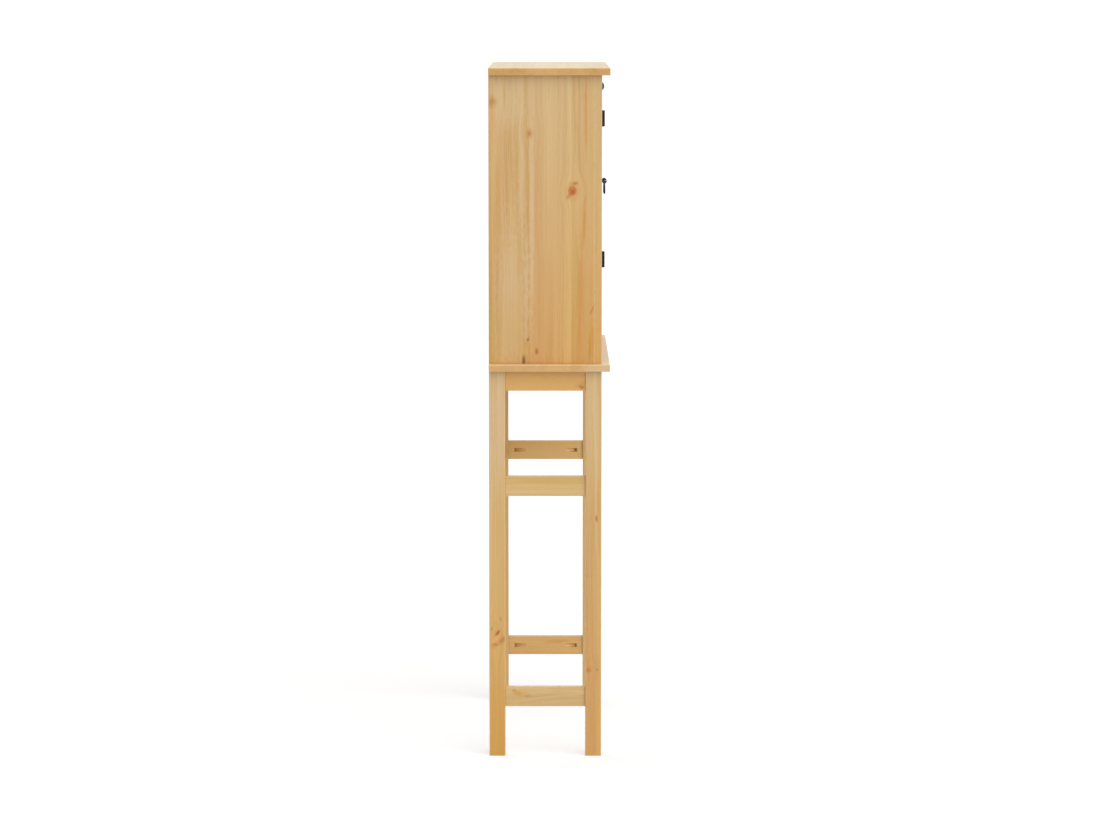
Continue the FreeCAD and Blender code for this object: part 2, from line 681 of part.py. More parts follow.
def hinge_pin(height):
    # Pin with a low button at each end of the barrel.
    seat = barrel_length / 2 + knuckle_gap
    rim = seat + finial_rim
    upper, lower = dome(finial_radius, finial_crown), dome(finial_radius, finial_crown)
    upper.rotate(Vector(0, 0, 0), along_x, 180)
    upper.translate(Vector(0, 0, rim))
    lower.translate(Vector(0, 0, -rim))
    end = rim + finial_crown
    side = profile_lines([(finial_radius, -rim), (finial_radius, -seat), (hinge_pin_radius, -seat),
                          (hinge_pin_radius, seat), (finial_radius, seat), (finial_radius, rim)])
    closing = profile_lines([(0, end), (0, -end)])
    return turned([lower] + side + [upper] + closing, Vector(-hinge_x, hinge_y, height), along_z)


def make_frame_hinges():
    # The halves of the hinges that stay on the stiles; returns their screws.
    leaves = [hinge_leaf(height, -1) for height in hinge_heights]
    pins = [hinge_pin(height) for height in hinge_heights]
    parts["hinge_frame_leaves"] = Part.makeCompound(leaves + [mirrored(leaf) for leaf in leaves])
    parts["hinge_pins"] = Part.makeCompound(pins + [mirrored(pin) for pin in pins])
    return [screw for height in hinge_heights for screw in hinge_screws(height, -1)[0]]


def make_catches():
    # Magnetic catches on the niche shelf; returns their screws.
    pole_front = door_back_y + strike_thickness + strike_gap
    housing_front = pole_front + pole_reach
    middle_x = -catch_from_meeting
    y_span = (housing_front, housing_front + catch_depth)
    half = catch_width / 2
    block = box((middle_x - half, middle_x + half), y_span, (shelf_top, shelf_top + catch_height))
    ears = box((middle_x - half - catch_ear, middle_x + half + catch_ear), y_span,
               (shelf_top, shelf_top + catch_ear_height))
    ears = ease(ears, catch_corner_radius, along_z, lambda point: True)
    magnet_z = shelf_top + magnet_rise + pole_thickness
    magnet_half = magnet_width / 2
    x_span = (middle_x - magnet_half, middle_x + magnet_half)
    back = pole_front + magnet_depth
    lower = box(x_span, (pole_front, back), (magnet_z - pole_thickness, magnet_z))
    magnet = box(x_span, (housing_front, back), (magnet_z, magnet_z + magnet_height))
    upper_z = magnet_z + magnet_height
    upper = box(x_span, (pole_front, back), (upper_z, upper_z + pole_thickness))
    window = box(x_span, (housing_front, back), (magnet_z - pole_thickness, upper_z + pole_thickness))
    screws, holes = [], []
    for side in (-1, 1):
        ear_x = middle_x + side * (half + catch_ear / 2)
        seat = Vector(ear_x, sum(y_span) / 2, shelf_top + catch_ear_height)
        screws.append(domed_screw(seat, along_z * -1, small_screw_head_radius, small_screw_head_height,
                                  small_screw_radius, small_screw_length, small_screw_tip))
        holes.append(screw_hole(seat, along_z * -1, small_screw_radius, small_screw_length))
    housing = block.fuse(ears).removeSplitter().cut([window] + holes)
    magnets = [lower, magnet, upper]
    parts["magnetic_catches"] = Part.makeCompound([housing, mirrored(housing)])
    parts["catch_magnets"] = Part.makeCompound(magnets + [mirrored(piece) for piece in magnets])
    parts["niche_shelf"] = parts["niche_shelf"].cut(holes + [mirrored(hole) for hole in holes])
    return screws


def rectangle(x_span, z_span, y):
    corners = [Vector(x_span[0], y, z_span[0]), Vector(x_span[1], y, z_span[0]),
               Vector(x_span[1], y, z_span[1]), Vector(x_span[0], y, z_span[1])]
    return Part.makePolygon(corners + corners[:1])


def make_strike():
    # Strike plate in the lower corner of the lock stile, and its countersunk screw.
    middle = Vector(-catch_from_meeting, door_back_y, door_bottom + strike_rise + strike_height / 2)
    half = strike_width / 2
    plate = box((middle.x - half, middle.x + half), (door_back_y, door_back_y + strike_thickness),
                (middle.z - strike_height / 2, middle.z + strike_height / 2))
    plate = ease(plate, catch_corner_radius, along_y, lambda point: True)
    seat = middle + along_y * strike_thickness
    inward = along_y * -1
    points = [(0, 0), (strike_screw_head_radius, 0), (small_screw_radius, strike_thickness)]
    points += [(small_screw_radius, small_screw_length - small_screw_tip), (0, small_screw_length), (0, 0)]
    screw = turned(profile_lines(points), seat, inward)
    wide = [(0, 0), (strike_screw_head_radius + screw_clearance, 0)]
    wide += [(small_screw_radius + screw_clearance, strike_thickness), (0, strike_thickness), (0, 0)]
    countersink = turned(profile_lines(wide), seat, inward)
    hole = screw_hole(seat, inward, small_screw_radius, small_screw_length)
    return plate.cut([countersink, hole]), screw, hole


def pull_plate():
    # Lozenge plate with blunt points and hollow sides.
    wide, tall, point = pull_plate_half_width, pull_plate_half_height, pull_plate_point
    edges = []
    for sx, sz in ((1, 1), (1, -1), (-1, -1), (-1, 1)):
        top = Vector(sx * point, 0, sz * tall)
        side = Vector(sx * wide, 0, sz * point)
        scoop = Vector(sx, 0, sz).normalize() * pull_plate_scoop
        edges.append(arc(top, (top + side) / 2 - scoop, side))
    for sign in (1, -1):
        edges.append(line(Vector(-point, 0, sign * tall), Vector(point, 0, sign * tall)))
        edges.append(line(Vector(sign * wide, 0, -point), Vector(sign * wide, 0, point)))
    plate = Part.Face(Part.Wire(Part.__sortEdges__(edges))).extrude(Vector(0, -pull_plate_thickness, 0))
    plate.translate(Vector(-pull_x, front_y, pull_z))
    return plate


def make_pull_mount():
    # Plate, neck and eye in one casting, with a threaded tail through the lock stile, and its nut.
    middle = Vector(-pull_x, pull_y, pull_z)
    start = middle - along_x * (eye_thickness / 2)
    eye = cylinder(start, along_x, eye_radius, eye_thickness)
    rims = [edge for edge in eye.Edges if edge.Curve.TypeId == "Part::GeomCircle"]
    eye = eye.makeChamfer(eye_chamfer, rims)
    face = Vector(-pull_x, front_y, pull_z)
    neck = cylinder(face, along_y * -1, eye_neck_radius, eye_standoff - eye_hole_radius)
    tail_length = door_thickness + nut_height + tail_end
    tail = cylinder(face, along_y, tail_radius, tail_length)
    mount = pull_plate().fuse([neck, eye, tail]).removeSplitter()
    mount = mount.cut(cylinder(start, along_x, eye_hole_radius, eye_thickness))
    hole = cylinder(face, along_y, tail_radius + screw_clearance, tail_length)
    corner = nut_across_flats / math.sqrt(3)
    corners = []
    for index in range(7):
        angle = math.radians(60 * index)
        spoke = Vector(math.cos(angle), 0, math.sin(angle)) * corner
        corners.append(Vector(-pull_x, door_back_y, pull_z) + spoke)
    nut = Part.Face(Part.makePolygon(corners)).extrude(along_y * nut_height).cut(hole)
    return mount, nut, hole


def drop_path():
    # Pear-shaped centre line in the XZ plane: a straight top bar, two leaning arms and a round bow.
    corner = Vector(drop_top_half, 0, -drop_corner_radius)
    bow = Vector(0, 0, drop_bow_radius - drop_length)
    apart = bow - corner
    heading = math.atan2(apart.z, apart.x)
    lean = heading + math.acos((drop_corner_radius - drop_bow_radius) / apart.Length)
    normal = Vector(math.cos(lean), 0, math.sin(lean))
    arm_top = corner + normal * drop_corner_radius
    arm_end = bow + normal * drop_bow_radius
    half_turn = (lean + math.pi / 2) / 2
    corner_mid = corner + Vector(math.cos(half_turn), 0, math.sin(half_turn)) * drop_corner_radius
    bar_end = Vector(drop_top_half, 0, 0)

    def other(point):
        return Vector(-point.x, point.y, point.z)

    return [line(Vector(0, 0, 0), bar_end), arc(bar_end, corner_mid, arm_top), line(arm_top, arm_end),
            arc(arm_end, Vector(0, 0, -drop_length), other(arm_end)), line(other(arm_end), other(arm_top)),
            arc(other(arm_top), other(corner_mid), other(bar_end)), line(other(bar_end), Vector(0, 0, 0))]


def make_drop():
    # Forged drop of eight-sided bar that hangs in the eye by a round journal.
    corners = []
    for index in range(drop_sides + 1):
        angle = 2 * math.pi * (index + 0.5) / drop_sides
        corners.append(Vector(0, drop_bar_radius * math.cos(angle), drop_bar_radius * math.sin(angle)))
    drop = Part.Wire(drop_path()).makePipeShell([Part.makePolygon(corners)], True, False)
    journal_end = Vector(-drop_top_half, 0, 0)
    drop = drop.fuse(cylinder(journal_end, along_x, drop_journal_radius, 2 * drop_top_half))
    hang = eye_hole_radius - drop_journal_radius - drop_clearance
    drop.translate(Vector(-pull_x, pull_y, pull_z - hang))
    return drop


def make_left_door():
    # Frame-and-panel door on the left: every piece of it by its short name.
    y_span = (front_y, door_back_y)
    z_span = (door_bottom, door_top)
    hinge_sight = -door_hinge_x + door_stile_width
    lock_sight = -door_meet_x - door_stile_width
    groove_y = front_y + door_thickness / 2
    groove_span = (groove_y - groove_width / 2, groove_y + groove_width / 2)
    tongue_span = (groove_span[0] + groove_side_room, groove_span[1] - groove_side_room)
    low_sight, high_sight = door_bottom + door_rail_height, door_top - door_rail_height
    reach = groove_depth - groove_end_room
    pieces = {}

    strike, strike_screw, strike_hole = make_strike()
    mount, nut, tail_hole = make_pull_mount()
    hinge_sets = [hinge_screws(height, 1) for height in hinge_heights]
    hinge_holes = [hole for screws, holes in hinge_sets for hole in holes]
    fasteners = [screw for screws, holes in hinge_sets for screw in screws]

    hinge_groove = (hinge_sight - groove_depth, hinge_sight)
    lock_groove = (lock_sight, lock_sight + groove_depth)
    stiles = (("hinge_stile", (-door_hinge_x, hinge_sight), hinge_groove, hinge_holes),
              ("lock_stile", (lock_sight, -door_meet_x), lock_groove, [strike_hole, tail_hole]))
    for name, x_span, groove_x, holes in stiles:
        stile = box(x_span, y_span, z_span)
        stile = ease(stile, frame_edge_radius, along_z, lambda p: near(p.y, front_y))
        pieces[name] = stile.cut([box(groove_x, groove_span, z_span)] + holes)

    rails = (("bottom_rail", (door_bottom, low_sight), (low_sight - groove_depth, low_sight)),
             ("top_rail", (high_sight, door_top), (high_sight, high_sight + groove_depth)))
    tenon_x = (hinge_sight - reach, lock_sight + reach)
    for name, rail_z, groove_z in rails:
        rail = box((hinge_sight, lock_sight), y_span, rail_z)
        rail = ease(rail, frame_edge_radius, along_x, lambda p: near(p.y, front_y))
        rail = rail.fuse(box(tenon_x, tongue_span, rail_z)).removeSplitter()
        pieces[name] = rail.cut(box(tenon_x, groove_span, groove_z))

    tongue_z = (low_sight - reach, high_sight + reach)
    tongue = box(tenon_x, tongue_span, tongue_z)
    foot = rectangle((hinge_sight + sight_room, lock_sight - sight_room),
                     (low_sight + sight_room, high_sight - sight_room), tongue_span[0])
    field = rectangle((hinge_sight + field_bevel, lock_sight - field_bevel),
                      (low_sight + field_bevel, high_sight - field_bevel), front_y + field_recess)
    pieces["panel"] = tongue.fuse(Part.makeLoft([foot, field], True, True)).removeSplitter()
    pieces["hinge_leaves"] = Part.makeCompound([hinge_leaf(height, 1) for height in hinge_heights])
    pieces["door_screws"] = Part.makeCompound(fasteners + [strike_screw])
    pieces["strike_plate"] = strike
    pieces["pull_mount"] = mount
    pieces["pull_nut"] = nut
    pieces["pull_drop"] = make_drop()
    return pieces


def make_doors():
    for name, shape in make_left_door().items():
        parts[f"left_{name}"] = shape
        parts[f"right_{name}"] = mirrored(shape)


def make_cabinet():
    leg_bores, board_bores = make_rails()
    leg_dowels, leg_holes = make_legs(leg_bores)
    carcass_cuts = make_carcass(leg_holes, board_bores)
    parts["board_dowels"] = Part.makeCompound(leg_dowels + parts["board_dowels"].Solids)
    pin_holes = make_shelf_pins()
    nail_holes = make_back_panel()
    make_sides(carcass_cuts, pin_holes, nail_holes)
    screws = make_frame_hinges() + make_catches()
    parts["small_screws"] = Part.makeCompound(screws + [mirrored(screw) for screw in screws])
    make_doors()


make_cabinet()
os.makedirs("parts", exist_ok=True)
for part_name, part_shape in parts.items():
    part_shape.exportStep(f"parts/{part_name}.step")
    print(part_name, len(part_shape.Solids), part_shape.isValid(), round(part_shape.Volume, 1))
print(len(parts), "nodes")
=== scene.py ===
import json
import math

import bpy
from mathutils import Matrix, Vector


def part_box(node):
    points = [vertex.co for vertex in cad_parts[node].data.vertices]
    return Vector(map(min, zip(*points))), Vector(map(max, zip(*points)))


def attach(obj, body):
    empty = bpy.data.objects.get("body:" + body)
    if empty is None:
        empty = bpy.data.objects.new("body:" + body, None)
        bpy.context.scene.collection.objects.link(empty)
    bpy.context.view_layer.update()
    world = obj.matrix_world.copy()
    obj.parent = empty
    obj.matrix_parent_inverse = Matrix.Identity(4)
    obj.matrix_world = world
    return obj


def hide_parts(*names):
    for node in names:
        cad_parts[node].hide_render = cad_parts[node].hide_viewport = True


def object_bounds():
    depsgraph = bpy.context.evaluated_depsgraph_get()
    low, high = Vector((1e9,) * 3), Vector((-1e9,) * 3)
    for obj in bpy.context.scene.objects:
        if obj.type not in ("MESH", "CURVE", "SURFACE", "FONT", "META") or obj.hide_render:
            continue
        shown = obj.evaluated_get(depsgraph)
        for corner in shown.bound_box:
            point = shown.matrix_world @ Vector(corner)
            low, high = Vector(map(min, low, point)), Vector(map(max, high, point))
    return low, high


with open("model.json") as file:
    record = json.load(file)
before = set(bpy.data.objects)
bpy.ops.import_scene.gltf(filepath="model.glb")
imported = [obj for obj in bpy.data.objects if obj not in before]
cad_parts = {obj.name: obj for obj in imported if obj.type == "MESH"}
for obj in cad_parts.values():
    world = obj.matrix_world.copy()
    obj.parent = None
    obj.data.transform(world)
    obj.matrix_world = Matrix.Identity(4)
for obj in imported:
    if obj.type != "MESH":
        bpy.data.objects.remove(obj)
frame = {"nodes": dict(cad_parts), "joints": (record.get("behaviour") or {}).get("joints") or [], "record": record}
cadLow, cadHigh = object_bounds()
nodes = frame["nodes"]
bpy.ops.object.select_all(action="DESELECT")  # the frame comes in selected
print("frame loaded with", len(nodes), "nodes")


# small helpers for wiring shader nodes

def screenColour(red, green, blue):  # a colour as it looks on screen, 0 to 255, made linear for Blender
    shares = [part / 255 for part in (red, green, blue)]
    linear = [part / 12.92 if part <= 0.04045 else ((part + 0.055) / 1.055) ** 2.4 for part in shares]
    return (*linear, 1.0)


def treeOf(*values):  # the tree of the first socket among the values
    return next(value.id_data for value in values if isinstance(value, bpy.types.NodeSocket))


def feed(socket, value):  # links another node's output, or sets a plain value
    if isinstance(value, bpy.types.NodeSocket):
        socket.id_data.links.new(value, socket)
    else:
        socket.default_value = value


def feedAll(node, inputs):
    for name, value in inputs.items():
        feed(node.inputs[name], value)


def addNode(tree, kind, settings=None, inputs=None):
    node = tree.nodes.new("ShaderNode" + kind)
    for name, value in (settings or {}).items():
        setattr(node, name, value)
    feedAll(node, inputs or {})
    return node


def calc(operation, *values, clamp=False):
    node = addNode(treeOf(*values), "Math", {"operation": operation, "use_clamp": clamp})
    for socket, value in zip(node.inputs, values):
        feed(socket, value)
    return node.outputs[0]


def times(first, second):
    return calc("MULTIPLY", first, second)


def timesPlus(first, second, third):
    return calc("MULTIPLY_ADD", first, second, third)


def minus(first, second):
    return calc("SUBTRACT", first, second)


def over(first, second):
    return calc("DIVIDE", first, second)


def vary(value, amount, base):  # adds to the base a value that runs about one half
    return timesPlus(minus(value, 0.5), amount, base)


def calcVector(operation, *values):
    node = addNode(treeOf(*values), "VectorMath", {"operation": operation})
    for socket, value in zip(node.inputs, values):
        feed(socket, value)
    return node.outputs["Value"] if operation == "LENGTH" else node.outputs["Vector"]


def split(vector):
    return addNode(vector.id_data, "SeparateXYZ", inputs={"Vector": vector}).outputs


def combine(x=0.0, y=0.0, z=0.0):
    return addNode(treeOf(x, y, z), "CombineXYZ", inputs={"X": x, "Y": y, "Z": z}).outputs[0]


def fade(value, start, end, low=0.0, high=1.0):  # a smooth step from low at start to high at end
    return addNode(value.id_data, "MapRange", {"interpolation_type": "SMOOTHSTEP"}, {
        "Value": value, "From Min": start, "From Max": end, "To Min": low, "To Max": high}).outputs["Result"]


def tint(factor, first, second, blend="MIX"):
    node = addNode(factor.id_data, "Mix", {"data_type": "RGBA", "blend_type": blend})
    feed(node.inputs[0], factor)
    feed(node.inputs[6], first)
    feed(node.inputs[7], second)
    return node.outputs[2]


def noise(vector, scale, detail=2.0, rough=0.5):  # scale is how many spots a metre along each axis
    stretched = calcVector("MULTIPLY", vector, scale)
    return addNode(vector.id_data, "TexNoise", {"noise_dimensions": "3D"}, {
        "Vector": stretched, "Scale": 1.0, "Detail": detail, "Roughness": rough})


def newGroup(name, inputs, outputs):
    tree = bpy.data.node_groups.new(name, "ShaderNodeTree")
    for label, kind in inputs.items():
        tree.interface.new_socket(label, in_out="INPUT", socket_type="NodeSocket" + kind)
    for label, kind in outputs.items():
        tree.interface.new_socket(label, in_out="OUTPUT", socket_type="NodeSocket" + kind)
    given = tree.nodes.new("NodeGroupInput").outputs
    taken = tree.nodes.new("NodeGroupOutput").inputs
    return tree, given, taken


def useGroup(tree, group, inputs):
    node = tree.nodes.new("ShaderNodeGroup")
    node.node_tree = group
    feedAll(node, inputs)
    return node.outputs


def newMaterial(name):
    material = bpy.data.materials.new(name)
    material.use_nodes = True
    tree = material.node_tree
    return material, tree, tree.nodes["Principled BSDF"]


def addBump(shader, look, height):
    bump = addNode(height.id_data, "Bump", inputs={
        "Strength": look["bump"], "Distance": look["bumpDepth"], "Height": height})
    feed(shader.inputs["Normal"], bump.outputs["Normal"])


def dress(name, material):  # the node's own material gives way to ours
    node = nodes[name]
    node.data.materials.clear()
    node.data.materials.append(material)


# pine: one group draws the boards, staves, year rings, streaks and knots of any piece
pineLook = {  # patterns are in spots a metre: across, through and along the board
    "pale": screenColour(223, 194, 142), "lateWood": screenColour(182, 130, 69),
    "middle": screenColour(211, 178, 119), "middleAt": 0.36,  # on the way from pale to late wood
    "deep": screenColour(198, 156, 92), "deepAt": 0.68,
    "pink": screenColour(215, 177, 133), "pinkShare": 0.55,
    "yellow": screenColour(206, 172, 99), "yellowShare": 0.5,
    "hueBands": (17, 17, 0.8), "hueFade": (0.48, 0.75),
    "warmTintAndLight": screenColour(250, 219, 150),  # multiplies the wood by a warm tint, painted light where it grades with height: warmer low down
    "endTone": screenColour(247, 232, 208), "endFade": (0.6, 0.95),  # multiplies the end grain
    "logAcross": 5.0, "logAlong": 9.0,  # how much of the log the staves are cut from
    "seamHalf": 0.0006, "seamShare": 0.16,  # half the width of a glue line
    # scattered knots, with their fades in knot radii
    "knotCells": (5.5, 2.4, 1.0), "knotScatter": 0.9, "knotLong": 1.3,
    "knotEdge": (160, 160, 110), "knotRagged": 0.004,
    "knotLeast": 0.0035, "knotRange": 0.0075,  # the smallest radius, and what chance adds to it
    "knotHeart": screenColour(142, 82, 46), "heartFade": (1.0, 0.45), "heartShare": 0.85,
    "knotRim": screenColour(196, 128, 70), "rimFade": (2.3, 0.8), "rimShare": 0.55,
    "bulgeFade": (4.5, 0.5), "bulge": 0.8, "knotYears": 4.0, "knotRings": (0.3, 0.9, 0.7, 1.0),
    # year rings, with their fades in shares of a year, and the narrow years between the broad ones
    "ringGap": 0.0085, "lateRise": (0.2, 0.82), "lateFall": (1.0, 0.86),
    "fineGap": 0.0027, "fineRise": (0.3, 0.9), "fineFall": (1.0, 0.93),
    "uneven": 3.0, "fineUneven": 5.0, "unevenBands": (60, 1, 1),
    "sway": (6, 6, 1.4), "swayAcross": 0.05, "swayThrough": 0.02,
    "pithSpread": 0.14, "pithLeast": 0.025, "pithRange": 0.07,  # where the log's heart is
    # streaks, and what each part adds to the tone: 0 is pale and 1 is late wood
    "broad": (26, 26, 0.9), "narrow": (95, 95, 1.7), "fibre": (1300, 1300, 22),
    "dashes": (820, 820, 38), "fleckFade": (0.62, 0.74),
    "startTone": 0.30, "broadTone": 1.05, "narrowTone": 0.42, "fibreTone": 0.42,
    "fineTone": 0.3, "fleckTone": 0.14, "staveTone": 0.22, "lateTone": 0.2,
    # edges that hands and cloths have rubbed, paler also as a painted edge highlight, and joint lines with painted
    # contact shade, by distance from the edge or end
    "rubbedAndLit": screenColour(224, 188, 136), "rubs": (55, 55, 55), "rubFade": (0.3, 0.65, 0.1, 0.5),
    "wornAndLitStart": 0.0034, "wornAndLitFull": 0.0008,
    # the joint colour is a dark seam with painted contact shade where pieces meet
    "joint": screenColour(128, 88, 40), "jointStart": 0.0022, "jointFull": 0.0005, "jointAndShadeShare": 0.3,
    "ridgeHigh": 0.4, "fibreHigh": 0.8, "fleckHigh": -0.5, "knotHigh": 0.6, "bump": 0.35, "bumpDepth": 0.0004,
    "rough": 0.42, "roughRange": 0.12, "wax": 0.5, "waxRough": 0.16, "sheenRough": 0.35,
    "sheenTone": screenColour(255, 216, 150),  # fibres that glow when seen along the board
}


def makePineGroup(look):
    tree, given, taken = newGroup(
        "pineGrain",
        {"Board": "Vector", "Seed": "Float", "Stave": "Float", "Start": "Float", "Knots": "Float",
         "EndFace": "Float", "WarmTintAndLight": "Float", "Tone": "Float"},
        {"Colour": "Color", "Rough": "Float", "Height": "Float"})
    across, through, along = split(given["Board"])

    # each stave of a glued board has its own place in the log
    staveCount = over(minus(across, given["Start"]), given["Stave"])
    staveNumber = calc("FLOOR", staveCount)
    staveShare = minus(staveCount, staveNumber)
    inStave = times(minus(staveShare, 0.5), given["Stave"])
    staveKey = combine(staveNumber, given["Seed"])
    draw = addNode(tree, "TexWhiteNoise", {"noise_dimensions": "2D"}, {"Vector": staveKey}).outputs["Color"]
    draws = split(draw)
    logAcross = timesPlus(draws["X"], look["logAcross"], inStave)
    logAlong = timesPlus(draws["Y"], look["logAlong"], along)
    logPlace = combine(logAcross, through, logAlong)

    # scattered knots, one in some of the cells of a stretched cell pattern
    flat = combine(logAcross, logAlong)
    cells = addNode(tree, "TexVoronoi", {"voronoi_dimensions": "2D"}, {
        "Vector": calcVector("MULTIPLY", flat, look["knotCells"]), "Scale": 1.0,
        "Randomness": look["knotScatter"]}).outputs
    heart = calcVector("DIVIDE", cells["Position"], look["knotCells"])
    chance = split(cells["Color"])
    fromHeart = split(calcVector("SUBTRACT", flat, heart))
    oval = combine(fromHeart["X"], over(fromHeart["Y"], look["knotLong"]))
    ragged = noise(logPlace, look["knotEdge"]).outputs[0]
    reach = vary(ragged, look["knotRagged"], calcVector("LENGTH", oval))
    isKnot = calc("LESS_THAN", chance["X"], given["Knots"])
    knotRadius = timesPlus(chance["Y"], look["knotRange"], look["knotLeast"])
    knotReach = over(reach, knotRadius)  # 1 at the knot's rim
    knotHeart = times(fade(knotReach, *look["heartFade"]), isKnot)
    knotRim = times(fade(knotReach, *look["rimFade"]), isKnot)
    bulge = times(fade(knotReach, *look["bulgeFade"]), isKnot)

    # year rings round the heart of the log, bent by the tree's own growth and round the knots
    sway = split(noise(logPlace, look["sway"]).outputs[1])
    bent = times(fromHeart["X"], times(bulge, look["bulge"]))
    ringAcross = minus(vary(sway["X"], look["swayAcross"], inStave), bent)
    pithAcross = times(minus(draws["Z"], 0.5), look["pithSpread"])
    pithDepth = timesPlus(draws["X"], look["pithRange"], look["pithLeast"])
    ringThrough = vary(sway["Y"], look["swayThrough"], through)
    fromPith = minus(ringAcross, pithAcross)
    ringPlace = combine(fromPith, calc("ADD", ringThrough, pithDepth))
    ringReach = calcVector("LENGTH", ringPlace)
    uneven = noise(combine(ringReach, given["Seed"]), look["unevenBands"], 1.0).outputs[0]
    years = timesPlus(uneven, look["uneven"], over(ringReach, look["ringGap"]))
    season = calc("FRACT", years)
    late = times(fade(season, *look["lateRise"]), fade(season, *look["lateFall"]))
    fineYears = timesPlus(uneven, look["fineUneven"], over(ringReach, look["fineGap"]))
    fineSeason = calc("FRACT", fineYears)
    fineLate = times(fade(fineSeason, *look["fineRise"]), fade(fineSeason, *look["fineFall"]))

    # streaks along the grain, from broad bands to single fibres
    broad = noise(logPlace, look["broad"]).outputs[0]
    narrow = noise(logPlace, look["narrow"], 3.0, 0.6).outputs[0]
    fibre = noise(logPlace, look["fibre"], 3.0, 0.65).outputs[0]
    dashes = noise(logPlace, look["dashes"], 1.0).outputs[0]
    flecks = fade(dashes, *look["fleckFade"])  # short lines of resin
    tone = vary(broad, look["broadTone"], look["startTone"])
    tone = vary(narrow, look["narrowTone"], tone)
    tone = vary(fibre, look["fibreTone"], tone)
    tone = timesPlus(fineLate, times(narrow, look["fineTone"]), tone)
    tone = timesPlus(flecks, look["fleckTone"], tone)
    tone = vary(draws["Y"], look["staveTone"], tone)
    tone = timesPlus(late, times(broad, look["lateTone"]), tone)
    tone = calc("ADD", tone, given["Tone"], clamp=True)
    ramp = addNode(tree, "ValToRGB", inputs={"Fac": tone})
    stops = ramp.color_ramp.elements
    stops[0].color, stops[1].color = look["pale"], look["lateWood"]
    stops.new(look["middleAt"]).color = look["middle"]
    stops.new(look["deepAt"]).color = look["deep"]
    hue = split(noise(logPlace, look["hueBands"], 1.0).outputs[1])
    pinkness = fade(hue["X"], *look["hueFade"], 0.0, look["pinkShare"])
    colour = tint(pinkness, ramp.outputs[0], look["pink"])
    yellowness = fade(hue["Y"], *look["hueFade"], 0.0, look["yellowShare"])
    colour = tint(yellowness, colour, look["yellow"])

    # knots, then the warm tint, painted light where it grades with height, the end grain and the glue lines
    colour = tint(times(knotRim, look["rimShare"]), colour, look["knotRim"])
    knotYears = calc("FRACT", times(knotReach, look["knotYears"]))
    knotRings = times(fade(knotYears, *look["knotRings"]), look["heartShare"])
    colour = tint(times(knotHeart, knotRings), colour, look["knotHeart"])
    colour = tint(given["WarmTintAndLight"], colour, look["warmTintAndLight"], "MULTIPLY")
    colour = tint(fade(given["EndFace"], *look["endFade"]), colour, look["endTone"], "MULTIPLY")
    fromMiddle = calc("ABSOLUTE", minus(staveShare, 0.5))
    seamStart = minus(0.5, over(look["seamHalf"], given["Stave"]))
    seam = fade(fromMiddle, seamStart, 0.5, 0.0, look["seamShare"])
    feed(taken["Colour"], tint(seam, colour, look["lateWood"]))
    rough = timesPlus(minus(fibre, late), look["roughRange"], look["rough"])
    feed(taken["Rough"], rough)
    ridges = calc("ADD", late, fineLate)
    height = timesPlus(ridges, look["ridgeHigh"], times(fibre, look["fibreHigh"]))
    height = timesPlus(flecks, look["fleckHigh"], height)
    feed(taken["Height"], timesPlus(knotHeart, look["knotHigh"], height))
    return tree


markLook = {"edge": (190, 190, 60), "ragged": 0.7, "fade": (1.0, 0.15), "pushFade": (3.5, 0.3)}


def makeMarkGroup(look):  # a spot or streak, full at its heart and gone at its rim
    tree, given, taken = newGroup(
        "boardMark",
        {"Board": "Vector", "Place": "Vector", "Size": "Vector", "Lean": "Float", "Push": "Float"},
        {"Mask": "Float", "Shift": "Vector"})
    off = split(calcVector("SUBTRACT", given["Board"], given["Place"]))
    straight = timesPlus(off["Z"], times(given["Lean"], -1.0), off["X"])
    spread = calcVector("DIVIDE", combine(straight, z=off["Z"]), given["Size"])
    ragged = noise(given["Board"], look["edge"]).outputs[0]
    smooth = calcVector("LENGTH", spread)  # 1 at the mark's rim
    reach = vary(ragged, look["ragged"], smooth)
    feed(taken["Mask"], fade(reach, *look["fade"]))
    push = times(fade(smooth, *look["pushFade"]), given["Push"])
    feed(taken["Shift"], combine(times(straight, times(push, -1.0))))
    return tree


knotLook = {"long": 1.2, "edge": (90, 90, 70), "ragged": 0.9, "heartFade": (1.08, 0.82), "years": 3.6,
            "yearRise": (0.1, 0.75), "yearFall": (1.0, 0.85), "ringShare": 0.7,
            "rays": 2.5, "rayBend": 5.0, "rayFade": (0.16, 0.03),
            "crackFade": (0.75, 0.35), "crackShare": 0.8,
            "barkIn": (0.84, 0.98), "barkOut": (1.16, 1.02), "barkGaps": (-0.12, 0.16), "barkShare": 0.7,
            "glowFade": (2.7, 0.9), "push": -0.75, "pushFade": (5.0, 0.6)}


